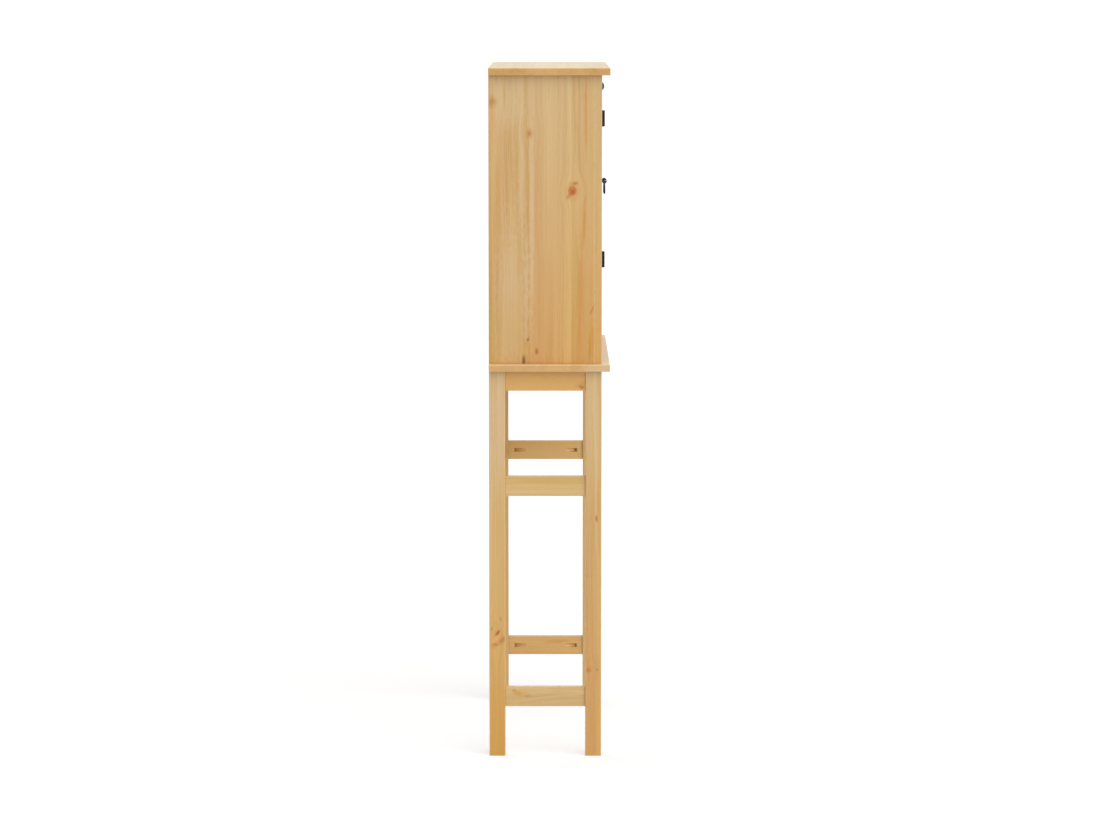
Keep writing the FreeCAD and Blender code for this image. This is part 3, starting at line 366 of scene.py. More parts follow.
def makeKnotGroup(look):  # the stub of a branch, with its own rings, star cracks, bark line and glow
    tree, given, taken = newGroup(
        "branchKnot", {"Board": "Vector", "Place": "Vector", "Radius": "Float"},
        {"Heart": "Float", "Rings": "Float", "Bark": "Float", "Glow": "Float", "Shift": "Vector"})
    off = split(calcVector("SUBTRACT", given["Board"], given["Place"]))
    oval = combine(off["X"], z=over(off["Z"], look["long"]))
    wobble = minus(noise(given["Board"], look["edge"]).outputs[0], 0.5)
    smooth = over(calcVector("LENGTH", oval), given["Radius"])
    reach = timesPlus(wobble, look["ragged"], smooth)  # 1 at the knot's rim
    feed(taken["Heart"], fade(reach, *look["heartFade"]))
    years = calc("FRACT", times(reach, look["years"]))
    rings = times(fade(years, *look["yearRise"]), fade(years, *look["yearFall"]))
    around = times(calc("ARCTAN2", off["X"], off["Z"]), look["rays"])
    rays = calc("ABSOLUTE", calc("SINE", timesPlus(wobble, look["rayBend"], around)))
    cracks = times(fade(rays, *look["rayFade"]), fade(reach, *look["crackFade"]))
    darkRings = times(rings, look["ringShare"])
    feed(taken["Rings"], calc("MULTIPLY_ADD", cracks, look["crackShare"], darkRings, clamp=True))
    line = times(fade(reach, *look["barkIn"]), fade(reach, *look["barkOut"]))
    feed(taken["Bark"], times(line, fade(wobble, *look["barkGaps"])))
    feed(taken["Glow"], fade(reach, *look["glowFade"]))
    push = times(fade(smooth, *look["pushFade"]), look["push"])
    feed(taken["Shift"], combine(times(off["X"], push)))
    return tree


pineGrain = makePineGroup(pineLook)
boardMark = makeMarkGroup(markLook)
branchKnot = makeKnotGroup(knotLook)


def boardAxes(name):  # across, through and along the board, by its box
    low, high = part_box(name)
    order = sorted(range(3), key=lambda axis: high[axis] - low[axis])
    return (order[1], order[0], order[2]), (low + high) / 2


def makePine(name, seed, look, marks=()):
    material, tree, shader = newMaterial("pine_" + name)
    axes, middle = boardAxes(name)
    where = addNode(tree, "TexCoord").outputs
    place = split(where["Object"])
    centred = split(calcVector("SUBTRACT", where["Object"], middle))
    board = combine(*[centred[axis] for axis in axes])
    facing = split(where["Normal"])
    low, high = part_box(name)
    # the warm tint's share from bottom to top; where it grades with height it is painted light
    warmTintAndLightShare = addNode(tree, "MapRange", inputs={
        "Value": place["Z"], "From Min": low.z, "From Max": high.z,
        "To Min": look["warmTintAndLightShare"][0], "To Max": look["warmTintAndLightShare"][1]}).outputs["Result"]
    drawn, masks = board, []
    for spot in marks:  # a knot has a radius, any other mark half a width and half a length
        offset = Vector(spot["place"]) - middle
        onFace = (offset[axes[0]], 0.0, offset[axes[2]])
        if "radius" in spot:
            flat = calcVector("MULTIPLY", board, (1, 0, 1))
            found = useGroup(tree, branchKnot, {"Board": flat, "Place": onFace, "Radius": spot["radius"]})
        else:
            halfAcross, halfAlong = spot["half"]
            found = useGroup(tree, boardMark, {
                "Board": board, "Place": onFace, "Size": (halfAcross, 1.0, halfAlong),
                "Lean": spot.get("lean", 0.0), "Push": spot.get("push", 0.0)})
        masks.append((spot, found))
        if "radius" in spot or "push" in spot:
            drawn = calcVector("ADD", drawn, found["Shift"])
    wood = useGroup(tree, pineGrain, {
        "Board": drawn, "Seed": float(seed), "Stave": look["stave"], "Start": look["staveStart"],
        "Knots": look.get("knots", 0.0), "EndFace": calc("ABSOLUTE", facing[axes[2]]), "WarmTintAndLight": warmTintAndLightShare,
        "Tone": look.get("tone", 0.0)})
    colour = wood["Colour"]
    for spot, found in masks:
        if "radius" in spot:
            heart = tint(found["Rings"], spot["colour"], spot["ringColour"])
            glow = times(found["Glow"], spot["glow"])
            colour = tint(glow, colour, markColours["redRim"])
            colour = tint(times(found["Heart"], spot["strength"]), colour, heart)
            colour = tint(times(found["Bark"], knotLook["barkShare"]), colour, markColours["dark"])
        else:
            cover = times(found["Mask"], spot["strength"])
            colour = tint(cover, colour, spot["colour"])
    half = (high - low) / 2
    inside = [minus(half[axis], calc("ABSOLUTE", centred[axis])) for axis in axes]
    if look["joined"]:  # an end that meets another piece shows a dark joint line with painted contact shade, and doesn't wear or take the painted edge highlight
        toEnd = inside[2]
        if look["joined"] == "top":
            toEnd = minus(half[axes[2]], centred[axes[2]])
        atEnd = fade(toEnd, pineLook["jointStart"], pineLook["jointFull"], 0.0, pineLook["jointAndShadeShare"])
        colour = tint(atEnd, colour, pineLook["joint"])
        inside[2] = 1.0
    nearest = calc("MINIMUM", calc("MINIMUM", inside[0], inside[1]), inside[2])
    farthest = calc("MAXIMUM", calc("MAXIMUM", inside[0], inside[1]), inside[2])
    total = calc("ADD", calc("ADD", inside[0], inside[1]), inside[2])
    toEdge = minus(minus(total, nearest), farthest)
    rub = noise(where["Object"], pineLook["rubs"], 3.0, 0.6).outputs[0]
    # paler near the edges: rubbed wear and a painted edge highlight
    nearEdge = fade(toEdge, pineLook["wornAndLitStart"], pineLook["wornAndLitFull"])
    wornAndLit = times(nearEdge, fade(rub, *pineLook["rubFade"]))
    colour = tint(wornAndLit, colour, pineLook["rubbedAndLit"])
    feedAll(shader, {
        "Base Color": colour, "Roughness": wood["Rough"],
        "Coat Weight": look.get("wax", pineLook["wax"]), "Coat Roughness": pineLook["waxRough"],
        "Sheen Weight": look.get("sheen", 0.0), "Sheen Roughness": pineLook["sheenRough"],
        "Sheen Tint": look.get("sheenTone", pineLook["sheenTone"])})
    addBump(shader, pineLook, wood["Height"])
    dress(name, material)


# the left side panel, the face that the photograph shows, with its own knots and streaks
leftFace = -0.36  # the side's outer face
markColours = {
    "redHeart": screenColour(184, 88, 10), "redRings": screenColour(146, 62, 2),
    "brownHeart": screenColour(160, 104, 50), "brownRings": screenColour(118, 70, 30),
    "orangeHeart": screenColour(206, 114, 24), "redRim": screenColour(211, 143, 68),
    "brown": screenColour(170, 106, 24), "fuzzy": screenColour(194, 145, 76),
    "dark": screenColour(120, 66, 0), "orange": screenColour(207, 142, 60),
    "gold": screenColour(206, 160, 72), "olive": screenColour(196, 162, 82),
    "blush": screenColour(217, 184, 142), "cream": screenColour(220, 192, 146),
    "amber": screenColour(202, 147, 58), "ember": screenColour(166, 86, 6),
    "peach": screenColour(224, 172, 96), "honey": screenColour(204, 146, 44),
}


def markAt(place, halfAcross, halfAlong, colour, strength=0.7, **more):
    return {"place": place, "half": (halfAcross, halfAlong), "colour": markColours[colour],
            "strength": strength, **more}


def mark(y, z, *rest, **more):  # on the left side
    return markAt((leftFace, y, z), *rest, **more)


def knotAt(place, radius, heart="redHeart", rings="redRings", strength=0.85, glow=0.5):
    return {"place": place, "radius": radius, "colour": markColours[heart], "ringColour": markColours[rings],
            "strength": strength, "glow": glow}


def brownKnotAt(place, radius):
    return knotAt(place, radius, "brownHeart", "brownRings")


glued = {"stave": 0.1, "staveStart": 0.05}  # the width of a stave, and where one of them starts
whole = {"stave": 0.4, "staveStart": -0.2}  # wider than the stick, so no seam shows

sidePanelLeft = {
    "seed": 3,
    # the warm tint, strong low down and gone at the top, is painted light
    "look": {"stave": 0.105, "staveStart": 0.031, "warmTintAndLightShare": (0.8, 0.02), "joined": "both"},
    "marks": [
        # pale and pink bands of the back stave, then its yellow streaks
        mark(0.095, 1.14, 0.06, 0.36, "cream", 0.5),
        # the pale patch at the top is painted light against the top board's shade
        mark(0.099, 1.64, 0.055, 0.1, "cream", 0.45),
        mark(0.057, 1.19, 0.009, 0.24, "cream", 0.5),
        mark(0.09, 1.06, 0.05, 0.14, "gold", 0.3),
        mark(0.068, 1.46, 0.014, 0.26, "blush", 0.55),
        mark(0.043, 1.36, 0.009, 0.42, "cream", 0.6),
        mark(0.14, 1.6, 0.01, 0.16, "orange", 0.3),
        mark(0.124, 1.42, 0.006, 0.17, "gold", 0.95, lean=0.01),
        mark(0.121, 1.08, 0.006, 0.14, "olive", 0.7, lean=-0.02),
        mark(0.138, 1.05, 0.005, 0.15, "olive", 0.8, lean=0.02),
        mark(0.11, 1.655, 0.005, 0.06, "olive", 0.65),
        mark(0.073, 1.27, 0.006, 0.12, "olive", 0.5, lean=-0.02),
        # golden front stave, crossed by one long orange streak
        mark(-0.095, 1.07, 0.042, 0.28, "amber", 0.35),
        mark(-0.09, 1.61, 0.006, 0.15, "orange", 0.75),
        mark(-0.0859, 1.335, 0.006, 0.11, "orange", 0.85, lean=-0.05),
        mark(-0.0765, 1.15, 0.006, 0.22, "orange", 0.9, lean=-0.016),
        mark(-0.0745, 1.06, 0.006, 0.14, "orange", 0.9, lean=-0.005),
        # the red knot with its brown whiskers
        knotAt((leftFace, -0.0571, 1.4185), 0.0098, "orangeHeart", "redHeart", 0.85, 0.55),
        mark(-0.058, 1.4165, 0.008, 0.009, "redRings", 0.75),
        mark(-0.0622, 1.4365, 0.011, 0.006, "brown", 0.7, lean=-0.5),
        mark(-0.047, 1.405, 0.007, 0.012, "brown", 0.55, lean=-0.4),
        # two blurred knots above, specks and a flame below
        mark(0.0496, 1.5597, 0.013, 0.02, "fuzzy", 1.0, push=0.5),
        mark(0.0496, 1.559, 0.005, 0.01, "brown", 0.4),
        mark(0.1418, 1.637, 0.019, 0.022, "fuzzy", 1.0, push=0.4),
        mark(0.144, 1.636, 0.008, 0.014, "brown", 0.35),
        mark(0.053, 1.0503, 0.005, 0.006, "dark", 0.75, push=0.5),
        mark(0.0314, 1.0209, 0.006, 0.013, "brown", 0.95),
        mark(0.056, 1.015, 0.02, 0.04, "gold", 0.45),
        mark(0.0633, 0.994, 0.007, 0.024, "dark", 1.0, push=0.4),
        mark(-0.106, 1.124, 0.005, 0.022, "brown", 0.55, lean=-0.5),
        mark(-0.104, 1.045, 0.014, 0.07, "honey", 0.85),
        mark(-0.109, 1.035, 0.005, 0.055, "orange", 0.8),
        mark(-0.1, 1.02, 0.004, 0.05, "brown", 0.35),
        mark(0.015, 0.989, 0.3, 0.008, "brown", 0.35),  # the shade along the middle board
    ],
}
makePine("side_panel_left", **sidePanelLeft)

legBackLeft = {
    "seed": 11,
    # the warm tint grading to the foot is painted light, and the pale tone lifts the shade under the middle board
    "look": {**whole, "warmTintAndLightShare": (1.0, 0.0), "tone": -0.18, "joined": "top"},
    "marks": [
        # the honey patch at the foot is painted warm light, and the blush at the top is painted light lifting the
        # shade under the middle board
        mark(0.13, 0.04, 0.04, 0.24, "honey", 0.3),
        mark(0.13, 0.84, 0.045, 0.24, "blush", 0.45),
        mark(0.129, 0.3, 0.024, 0.034, "redRim", 0.5, push=0.8),
        mark(0.1355, 0.283, 0.014, 0.006, "brown", 0.7),
        mark(0.118, 0.2945, 0.011, 0.016, "ember", 0.5, lean=-0.5),
        mark(0.1329, 0.2985, 0.008, 0.017, "peach", 0.8, lean=-0.8),
        mark(0.1284, 0.3135, 0.008, 0.0125, "amber", 0.8, lean=-0.5),
        mark(0.1284, 0.3135, 0.006, 0.0105, "ember", 1.0, lean=-0.5),
        mark(0.1401, 0.279, 0.008, 0.012, "orange", 0.8),
        mark(0.1437, 0.3243, 0.004, 0.007, "brown", 0.6),
        mark(0.134, 0.333, 0.012, 0.016, "gold", 0.45),
        mark(0.1212, 0.3485, 0.006, 0.009, "brown", 0.4),
    ],
}
makePine("leg_back_left", **legBackLeft)

legFrontLeft = {
    "seed": 14,
    # the warm tint grading to the foot is painted light
    "look": {**whole, "warmTintAndLightShare": (0.85, 0.05), "tone": 0.04, "joined": "top"},
    "marks": [
        # the blush at the top is painted light lifting the shade under the middle board
        mark(-0.11, 0.84, 0.045, 0.22, "blush", 0.2),
        mark(-0.1, 0.2215, 0.013, 0.014, "orange", 0.85, push=0.6),
        mark(-0.0955, 0.236, 0.005, 0.024, "orange", 0.85, lean=-0.08),
        mark(-0.0975, 0.218, 0.009, 0.009, "ember", 0.45),
        mark(-0.1195, 0.2195, 0.006, 0.004, "brown", 0.5),
        mark(-0.1175, 0.602, 0.005, 0.012, "brown", 0.8),
        mark(-0.121, 0.645, 0.006, 0.07, "orange", 0.45),
    ],
}
makePine("leg_front_left", **legFrontLeft)

railLowLeft = {
    "seed": 21,
    "look": {**whole, "warmTintAndLightShare": (0.15, 0.15), "tone": -0.1, "joined": "both"},
    "marks": [mark(0.072, 0.1575, 0.012, 0.03, "gold", 0.6, push=0.4),
              mark(0.08, 0.1585, 0.007, 0.016, "orange", 0.6),
              mark(0.088, 0.1655, 0.006, 0.009, "fuzzy", 0.9),
              mark(0.053, 0.1515, 0.005, 0.015, "fuzzy", 0.8)],
}
makePine("side_rail_low_left", **railLowLeft)

railMidLeft = {
    "seed": 33,
    "look": {**whole, "warmTintAndLightShare": (0.25, 0.25), "joined": "both"},
    "marks": [mark(0.02, 0.695, 0.009, 0.09, "gold", 0.45)],
}
makePine("side_rail_mid_left", **railMidLeft)

railTopLeft = {
    "seed": 22,
    # the pale tone and warm tint are painted light that lifts the shade under the middle board
    "look": {**whole, "warmTintAndLightShare": (0.9, 0.9), "tone": -0.62, "joined": "both"},
    "marks": [mark(-0.077, 0.934, 0.014, 0.02, "redRim", 0.8, push=0.6),
              mark(-0.08, 0.93, 0.007, 0.008, "brown", 0.8)],
}
makePine("side_rail_top_left", **railTopLeft)

# every other pine piece: boards and panels are glued from staves, the rest are one stick
# the warm tints that grade with height are painted light
otherPine = {
    "wide": {**glued, "knots": 0.3, "warmTintAndLightShare": (0.5, 0.1), "joined": "both"},
    "stile": {**whole, "knots": 0.12, "warmTintAndLightShare": (0.5, 0.1), "joined": None},
    "board": {**glued, "knots": 0.2, "warmTintAndLightShare": (0.3, 0.3), "tone": -0.12, "joined": None},
}
otherPine["stick"] = {**otherPine["stile"], "joined": "both"}
otherPine["leg"] = {**otherPine["stile"], "joined": "top"}
ownLooks = {  # pieces with looks of their own: the top board's wax and sheen, and on the others pale tones and warm tints that are painted light, lifting the middle board's front strip and the far rails out of shade and grading the front stile
    "top_board": {**otherPine["board"], "wax": 0.05, "sheen": 0.84,
                  "sheenTone": screenColour(255, 252, 230)},
    "mid_board": {**otherPine["board"], "warmTintAndLightShare": (0.4, 0.4), "tone": -0.25,
                  "wax": 0.95, "sheen": 1.0},
    "front_stile_left": {**otherPine["stick"], "warmTintAndLightShare": (0.92, 0.0), "tone": 0.05},
    "side_rail_mid_right": {**otherPine["stick"], "warmTintAndLightShare": (0.62, 0.62), "tone": -0.6,
                            "knots": 0.0},
    "side_rail_low_right": {**otherPine["stick"], "warmTintAndLightShare": (0.7, 0.7), "tone": -0.12},
}
otherMarks = {
    "side_panel_right": [
        knotAt((0.36, 0.062, 1.235), 0.01), brownKnotAt((0.36, -0.071, 1.552), 0.007),
        markAt((0.36, 0.108, 1.6), 0.015, 0.022, "fuzzy", 0.9, push=0.5),
        markAt((0.36, -0.02, 1.3), 0.007, 0.3, "gold", 0.6, lean=0.01),
        markAt((0.36, 0.118, 1.12), 0.006, 0.2, "orange", 0.6, lean=-0.02),
        markAt((0.36, -0.1, 1.16), 0.01, 0.24, "cream", 0.5),
    ],
    "left_panel": [
        knotAt((-0.215, -0.118, 1.515), 0.009), brownKnotAt((-0.118, -0.118, 1.318), 0.006),
        markAt((-0.16, -0.118, 1.44), 0.006, 0.2, "gold", 0.6, lean=0.02),
        markAt((-0.242, -0.118, 1.36), 0.008, 0.18, "blush", 0.6),
        markAt((-0.1, -0.118, 1.5), 0.005, 0.16, "orange", 0.5),
    ],
    "right_panel": [
        knotAt((0.142, -0.118, 1.372), 0.011), knotAt((0.232, -0.118, 1.548), 0.006),
        markAt((0.19, -0.118, 1.42), 0.007, 0.22, "orange", 0.5, lean=-0.015),
        markAt((0.11, -0.118, 1.49), 0.009, 0.2, "cream", 0.6),
        markAt((0.248, -0.118, 1.35), 0.006, 0.15, "olive", 0.6),
    ],
    "top_board": [
        knotAt((-0.185, 0.04, 1.72), 0.01), brownKnotAt((0.21, -0.07, 1.72), 0.008),
        markAt((0.06, 0.075, 1.72), 0.008, 0.3, "gold", 0.5),
        markAt((-0.1, -0.09, 1.72), 0.006, 0.22, "orange", 0.5),
    ],
    "mid_board": [
        knotAt((0.12, -0.04, 0.99), 0.009), markAt((-0.15, 0.03, 0.99), 0.008, 0.26, "gold", 0.5),
        # the pale patch on the front strip is a painted highlight along the board
        markAt((-0.37, -0.13, 0.99), 0.075, 0.06, "cream", 0.6),
    ],
    "niche_shelf": [knotAt((-0.09, -0.02, 1.19), 0.008)],
    "inner_shelf": [knotAt((0.14, 0.01, 1.43), 0.008)],
    "front_stile_left": [markAt((-0.34, -0.13, 1.31), 0.006, 0.16, "gold", 0.6),
                         brownKnotAt((-0.332, -0.13, 1.45), 0.005)],
    "front_stile_right": [markAt((0.342, -0.13, 1.42), 0.006, 0.2, "orange", 0.45),
                          knotAt((0.345, -0.13, 1.12), 0.006)],
    "frieze_rail": [markAt((0.04, -0.13, 1.672), 0.008, 0.16, "gold", 0.5),
                    brownKnotAt((-0.13, -0.13, 1.668), 0.006)],
    "left_lock_stile": [brownKnotAt((-0.03, -0.13, 1.285), 0.005)],
    "right_hinge_stile": [knotAt((0.285, -0.13, 1.405), 0.006)],
    "left_top_rail": [markAt((-0.17, -0.13, 1.618), 0.007, 0.1, "orange", 0.5)],
    "right_bottom_rail": [brownKnotAt((0.215, -0.13, 1.222), 0.006)],
    "front_top_rail": [knotAt((0.15, -0.12, 0.945), 0.006),
                       markAt((-0.1, -0.12, 0.94), 0.007, 0.15, "gold", 0.6)],
    "back_mid_rail": [knotAt((-0.06, 0.12, 0.68), 0.007),
                      markAt((0.16, 0.12, 0.69), 0.006, 0.12, "orange", 0.5)],
    "back_top_rail": [brownKnotAt((-0.18, 0.12, 0.94), 0.006)],
    "leg_front_right": [knotAt((0.345, -0.11, 0.41), 0.006),
                        markAt((0.34, -0.11, 0.7), 0.006, 0.16, "gold", 0.6)],
    "leg_back_right": [brownKnotAt((0.345, 0.13, 0.61), 0.006),
                       markAt((0.34, 0.13, 0.25), 0.006, 0.14, "orange", 0.5)],
    "side_rail_mid_right": [markAt((0.345, 0.01, 0.68), 0.05, 0.2, "gold", 0.2)],
    "side_rail_low_right": [markAt((0.345, -0.02, 0.16), 0.008, 0.05, "orange", 0.6, push=0.3)],
}
pineKinds = {
    "top_board": "board", "mid_board": "board", "niche_shelf": "board", "inner_shelf": "board",
    "side_panel_right": "wide", "left_panel": "wide", "right_panel": "wide",
    "left_hinge_stile": "stile", "left_lock_stile": "stile",
    "right_hinge_stile": "stile", "right_lock_stile": "stile",
}
firstSeed = 30
pineNames = sorted(row["node"] for row in frame["record"]["subparts"] if row["material_slot"] == "pine")
for seed, name in enumerate(pineNames, start=firstSeed):
    if "pine_" + name not in bpy.data.materials:  # the pieces above have theirs
        kind = "leg" if name.startswith("leg_") else pineKinds.get(name, "stick")
        makePine(name, seed, ownLooks.get(name, otherPine[kind]), otherMarks.get(name, ()))
print("pine on", len(pineNames), "nodes")


# thin back panel: rotary cut ply, broad wavy figure
plyLook = {"pale": screenColour(222, 192, 146), "deep": screenColour(202, 160, 104),
           "line": screenColour(178, 130, 80), "figure": (9, 9, 1.1), "hills": 22.0,
           "lineRise": (0.35, 0.85), "lineFall": (1.0, 0.9), "lineShare": 0.2,
           "bands": (30, 30, 1.0), "bandFade": (0.4, 0.7), "bandShare": 0.4,
           "pores": (900, 900, 30), "poreFade": (0.55, 0.8), "poreShare": 0.3,
           "rough": 0.55, "roughRange": 0.15, "bump": 0.15, "bumpDepth": 0.0003}


def makePlywood(look):
    material, tree, shader = newMaterial("backPly")
    where = addNode(tree, "TexCoord").outputs["Object"]
    figure = noise(where, look["figure"], 2.0, 0.45).outputs[0]
    hills = calc("FRACT", times(figure, look["hills"]))
    lines = times(fade(hills, *look["lineRise"]), fade(hills, *look["lineFall"]))
    pores = noise(where, look["pores"], 2.0, 0.6).outputs[0]
    colour = tint(figure, look["pale"], look["deep"])
    bands = noise(where, look["bands"]).outputs[0]
    colour = tint(fade(bands, *look["bandFade"], 0.0, look["bandShare"]), colour, look["deep"])
    colour = tint(times(lines, look["lineShare"]), colour, look["line"])
    colour = tint(fade(pores, *look["poreFade"], 0.0, look["poreShare"]), colour, look["line"])
    feedAll(shader, {"Base Color": colour, "Roughness": timesPlus(pores, look["roughRange"], look["rough"])})
    addBump(shader, look, pores)
    return material


dress("back_panel", makePlywood(plyLook))


# hardware metals, dowel wood and catch plastic
forged = {"blows": 260.0, "blowBlend": 0.8, "cloud": (90, 90, 90),
          "grit": (2200, 2200, 2200), "gritHigh": 0.06, "rustFade": (0.62, 0.8), "rustShare": 0.5,
          "rough": 0.38, "roughRange": 0.25, "metal": 0.2, "bump": 0.6, "bumpDepth": 0.0009}
ironLook = {**forged, "dark": screenColour(20, 18, 17), "scale": screenColour(38, 35, 33),
            "rust": screenColour(56, 42, 33), "gloss": 0.3}


def makeIron(name, look):
    material, tree, shader = newMaterial(name)
    where = addNode(tree, "TexCoord").outputs["Object"]
    blows = addNode(tree, "TexVoronoi", {"feature": "SMOOTH_F1"}, {
        "Vector": where, "Scale": look["blows"], "Smoothness": look["blowBlend"]}).outputs["Distance"]
    cloud = noise(where, look["cloud"], 4.0, 0.6).outputs[0]
    grit = noise(where, look["grit"]).outputs[0]
    colour = tint(cloud, look["dark"], look["scale"])
    colour = tint(fade(cloud, *look["rustFade"], 0.0, look["rustShare"]), colour, look["rust"])
    feedAll(shader, {
        "Base Color": colour, "Roughness": timesPlus(grit, look["roughRange"], look["rough"]),
        "Metallic": look["metal"], "Specular IOR Level": look["gloss"]})
    addBump(shader, look, timesPlus(grit, look["gritHigh"], blows))
    return material


zincLook = {"first": screenColour(196, 196, 190), "second": screenColour(150, 150, 146),
            "mottle": (300, 300, 300), "detail": (3.0, 0.6), "rough": 0.22, "roughRange": 0.25, "metal": 1.0}
beechLook = {"first": screenColour(206, 168, 124), "second": screenColour(170, 122, 78),
             "mottle": (500, 500, 500), "detail": (3.0, 0.7), "fade": (0.45, 0.75),
             "rough": 0.5, "roughRange": 0.2, "metal": 0.0}
catchLook = {"first": screenColour(92, 62, 40), "second": screenColour(116, 82, 56),
             "mottle": (1500, 1500, 1500), "detail": (2.0, 0.5), "rough": 0.38, "roughRange": 0.2,
             "metal": 0.0, "bump": 0.1, "bumpDepth": 0.0002}


def makePlain(name, look):  # one mottle gives the colour, the roughness and any bump
    material, tree, shader = newMaterial(name)
    where = addNode(tree, "TexCoord").outputs["Object"]
    mottle = noise(where, look["mottle"], *look["detail"]).outputs[0]
    share = fade(mottle, *look["fade"]) if "fade" in look else mottle
    feedAll(shader, {
        "Base Color": tint(share, look["first"], look["second"]), "Metallic": look["metal"],
        "Roughness": timesPlus(mottle, look["roughRange"], look["rough"])})
    if "bump" in look:
        addBump(shader, look, mottle)
    return material


yellowScrewLook = {**forged, "dark": screenColour(164, 128, 80), "scale": screenColour(192, 154, 100),
                   "rust": screenColour(160, 112, 62), "gloss": 0.5}
# the studs' paler, greyer iron is partly worn iron and partly a painted reflection of the bright surroundings
wornAndSheenIronLook = {**forged, "dark": screenColour(44, 40, 37), "scale": screenColour(84, 77, 72),
                "rust": screenColour(92, 72, 58), "gloss": 0.5}
finishes = {"black_iron": makeIron("blackIron", ironLook), "zinc_steel": makePlain("zincPlate", zincLook),
            "beech": makePlain("beechDowel", beechLook),
            "catch_plastic": makePlain("catchPlastic", catchLook)}
for row in frame["record"]["subparts"]:
    if row["material_slot"] in finishes:
        dress(row["node"], finishes[row["material_slot"]])
dress("rail_screws", makeIron("yellowScrew", yellowScrewLook))
wornAndSheenIron = makeIron("wornAndSheenIron", wornAndSheenIronLook)
print("hardware finished")


# hammered studs and slotted screws, modelled once and copied to their places
nearZero = 1e-6
tipShare = 0.08  # of the shank's width, left at its point


def newObject(name, data):
    thing = bpy.data.objects.new(name, data)
    bpy.context.scene.collection.objects.link(thing)
    return thing


def pickObjects(*pieces):  # only these are selected, and the first is active
    bpy.ops.object.select_all(action="DESELECT")
    for piece in pieces:
        piece.select_set(True)
    bpy.context.view_layer.objects.active = pieces[0]


def startPiece(name):  # the new primitive, open for editing
    piece = bpy.context.object
    piece.name = name
    bpy.ops.object.mode_set(mode="EDIT")
    return piece


def pickFaces(piece, wanted):  # selects the faces that pass the test, by place and normal
    bpy.ops.mesh.select_all(action="DESELECT")
    bpy.ops.object.mode_set(mode="OBJECT")
    for face in piece.data.polygons:
        face.select = wanted(face)
    bpy.ops.object.mode_set(mode="EDIT")
    bpy.ops.mesh.select_mode(type="FACE")


def drawShank(start, length, tip):  # the picked faces go down from start, and end in a point
    bpy.ops.mesh.extrude_region_move(TRANSFORM_OT_translate={"value": (0, 0, tip + start - length)})
    bpy.ops.mesh.extrude_region_move(TRANSFORM_OT_translate={"value": (0, 0, -tip)})
    bpy.ops.transform.resize(value=(tipShare, tipShare, 1), center_override=(0, 0, -length))


def startDomed(name, look):  # a domed head on a pointed shank, open for editing
    bpy.ops.object.select_all(action="DESELECT")
    bpy.ops.mesh.primitive_uv_sphere_add(
        segments=look["sides"], ring_count=look["rings"], radius=look["headRadius"])
    piece = startPiece(name)
    bpy.ops.mesh.select_all(action="SELECT")
    bpy.ops.mesh.bisect(plane_co=(0, 0, 0), plane_no=(0, 0, 1), use_fill=True, clear_inner=True)
    bpy.ops.mesh.select_all(action="SELECT")  # the upper half of the ball, pressed to its rise
    bpy.ops.transform.resize(value=(1, 1, look["rise"] / look["headRadius"]), center_override=(0, 0, 0))
    pickFaces(piece, lambda face: face.normal.z < -0.9 and abs(face.center.z) < nearZero)
    bpy.ops.mesh.inset(thickness=look["headRadius"] - look["radius"])  # the flat narrows to the shank
    drawShank(0.0, look["length"], look["tip"])
    return piece


def closePiece(angle):
    bpy.ops.mesh.select_all(action="SELECT")
    bpy.ops.mesh.remove_doubles(threshold=nearZero)
    bpy.ops.mesh.normals_make_consistent(inside=False)
    bpy.ops.object.mode_set(mode="OBJECT")
    bpy.ops.object.shade_smooth_by_angle(angle=angle)


def setCopies(model, name, places):  # turned copies at their places, joined as one object
    copies = []
    for place, turn in places:
        copy = newObject(name, model.data.copy())
        copy.location, copy.rotation_euler = place, turn
        copies.append(copy)
    pickObjects(*copies)
    bpy.ops.object.transform_apply(location=True, rotation=True, scale=True)
    if len(copies) > 1:
        bpy.ops.object.join()
    return copies[0]


def settle(piece, body, node, material):  # the piece takes the CAD node's place on its body
    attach(piece, body)
    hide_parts(node)
    piece.data.materials.clear()
    piece.data.materials.append(material)


def discard(model):
    pickObjects(model)
    bpy.ops.object.delete()


toFront = (math.pi / 2, 0, 0)  # turns a head that looks up to look at the front
studLook = {"headRadius": 0.0098, "rise": 0.006, "sides": 18, "rings": 12, "dent": 0.00028, "crown": 0.0012,
            "seed": 7, "smooth": math.radians(14), "radius": 0.0015, "length": 0.0118, "tip": 0.003,
            "out": 0.295, "front": -0.13, "height": 1.6735}


def makeStuds(look):
    stud = startDomed("studModel", look)
    pickFaces(stud, lambda face: face.center.z > look["crown"])  # hammer blows on the crown
    bpy.ops.transform.vertex_random(offset=look["dent"], uniform=0.2, normal=0.8, seed=look["seed"])
    closePiece(look["smooth"])
    places = [((side * look["out"], look["front"], look["height"]), toFront) for side in (-1, 1)]
    piece = setCopies(stud, "hammeredStuds", places)
    discard(stud)
    settle(piece, "cabinet", "frieze_studs", wornAndSheenIron)


screwLook = {"headRadius": 0.0024, "rise": 0.00115, "slotWide": 0.00055, "slotDeep": 0.0006, "radius": 0.0013,
             "length": 0.013, "tip": 0.002, "seat": -0.1314, "heights": (1.2465, 1.5950), "spread": 0.0105,
             "frameNear": 0.32825, "frameFar": 0.33775, "doorNear": 0.31025, "doorFar": 0.30075,
             "catchOut": (0.013, 0.047), "catchY": -0.1028, "catchTop": 1.1995,
             "strikeOut": 0.030, "strikeY": -0.1108, "strikeZ": 1.2045, "sink": 0.0012,
             "sides": 24, "rings": 12, "smooth": math.radians(40),
             "firstTurn": 0.4, "turnStep": 2.1, "strikeTurn": 0.7}


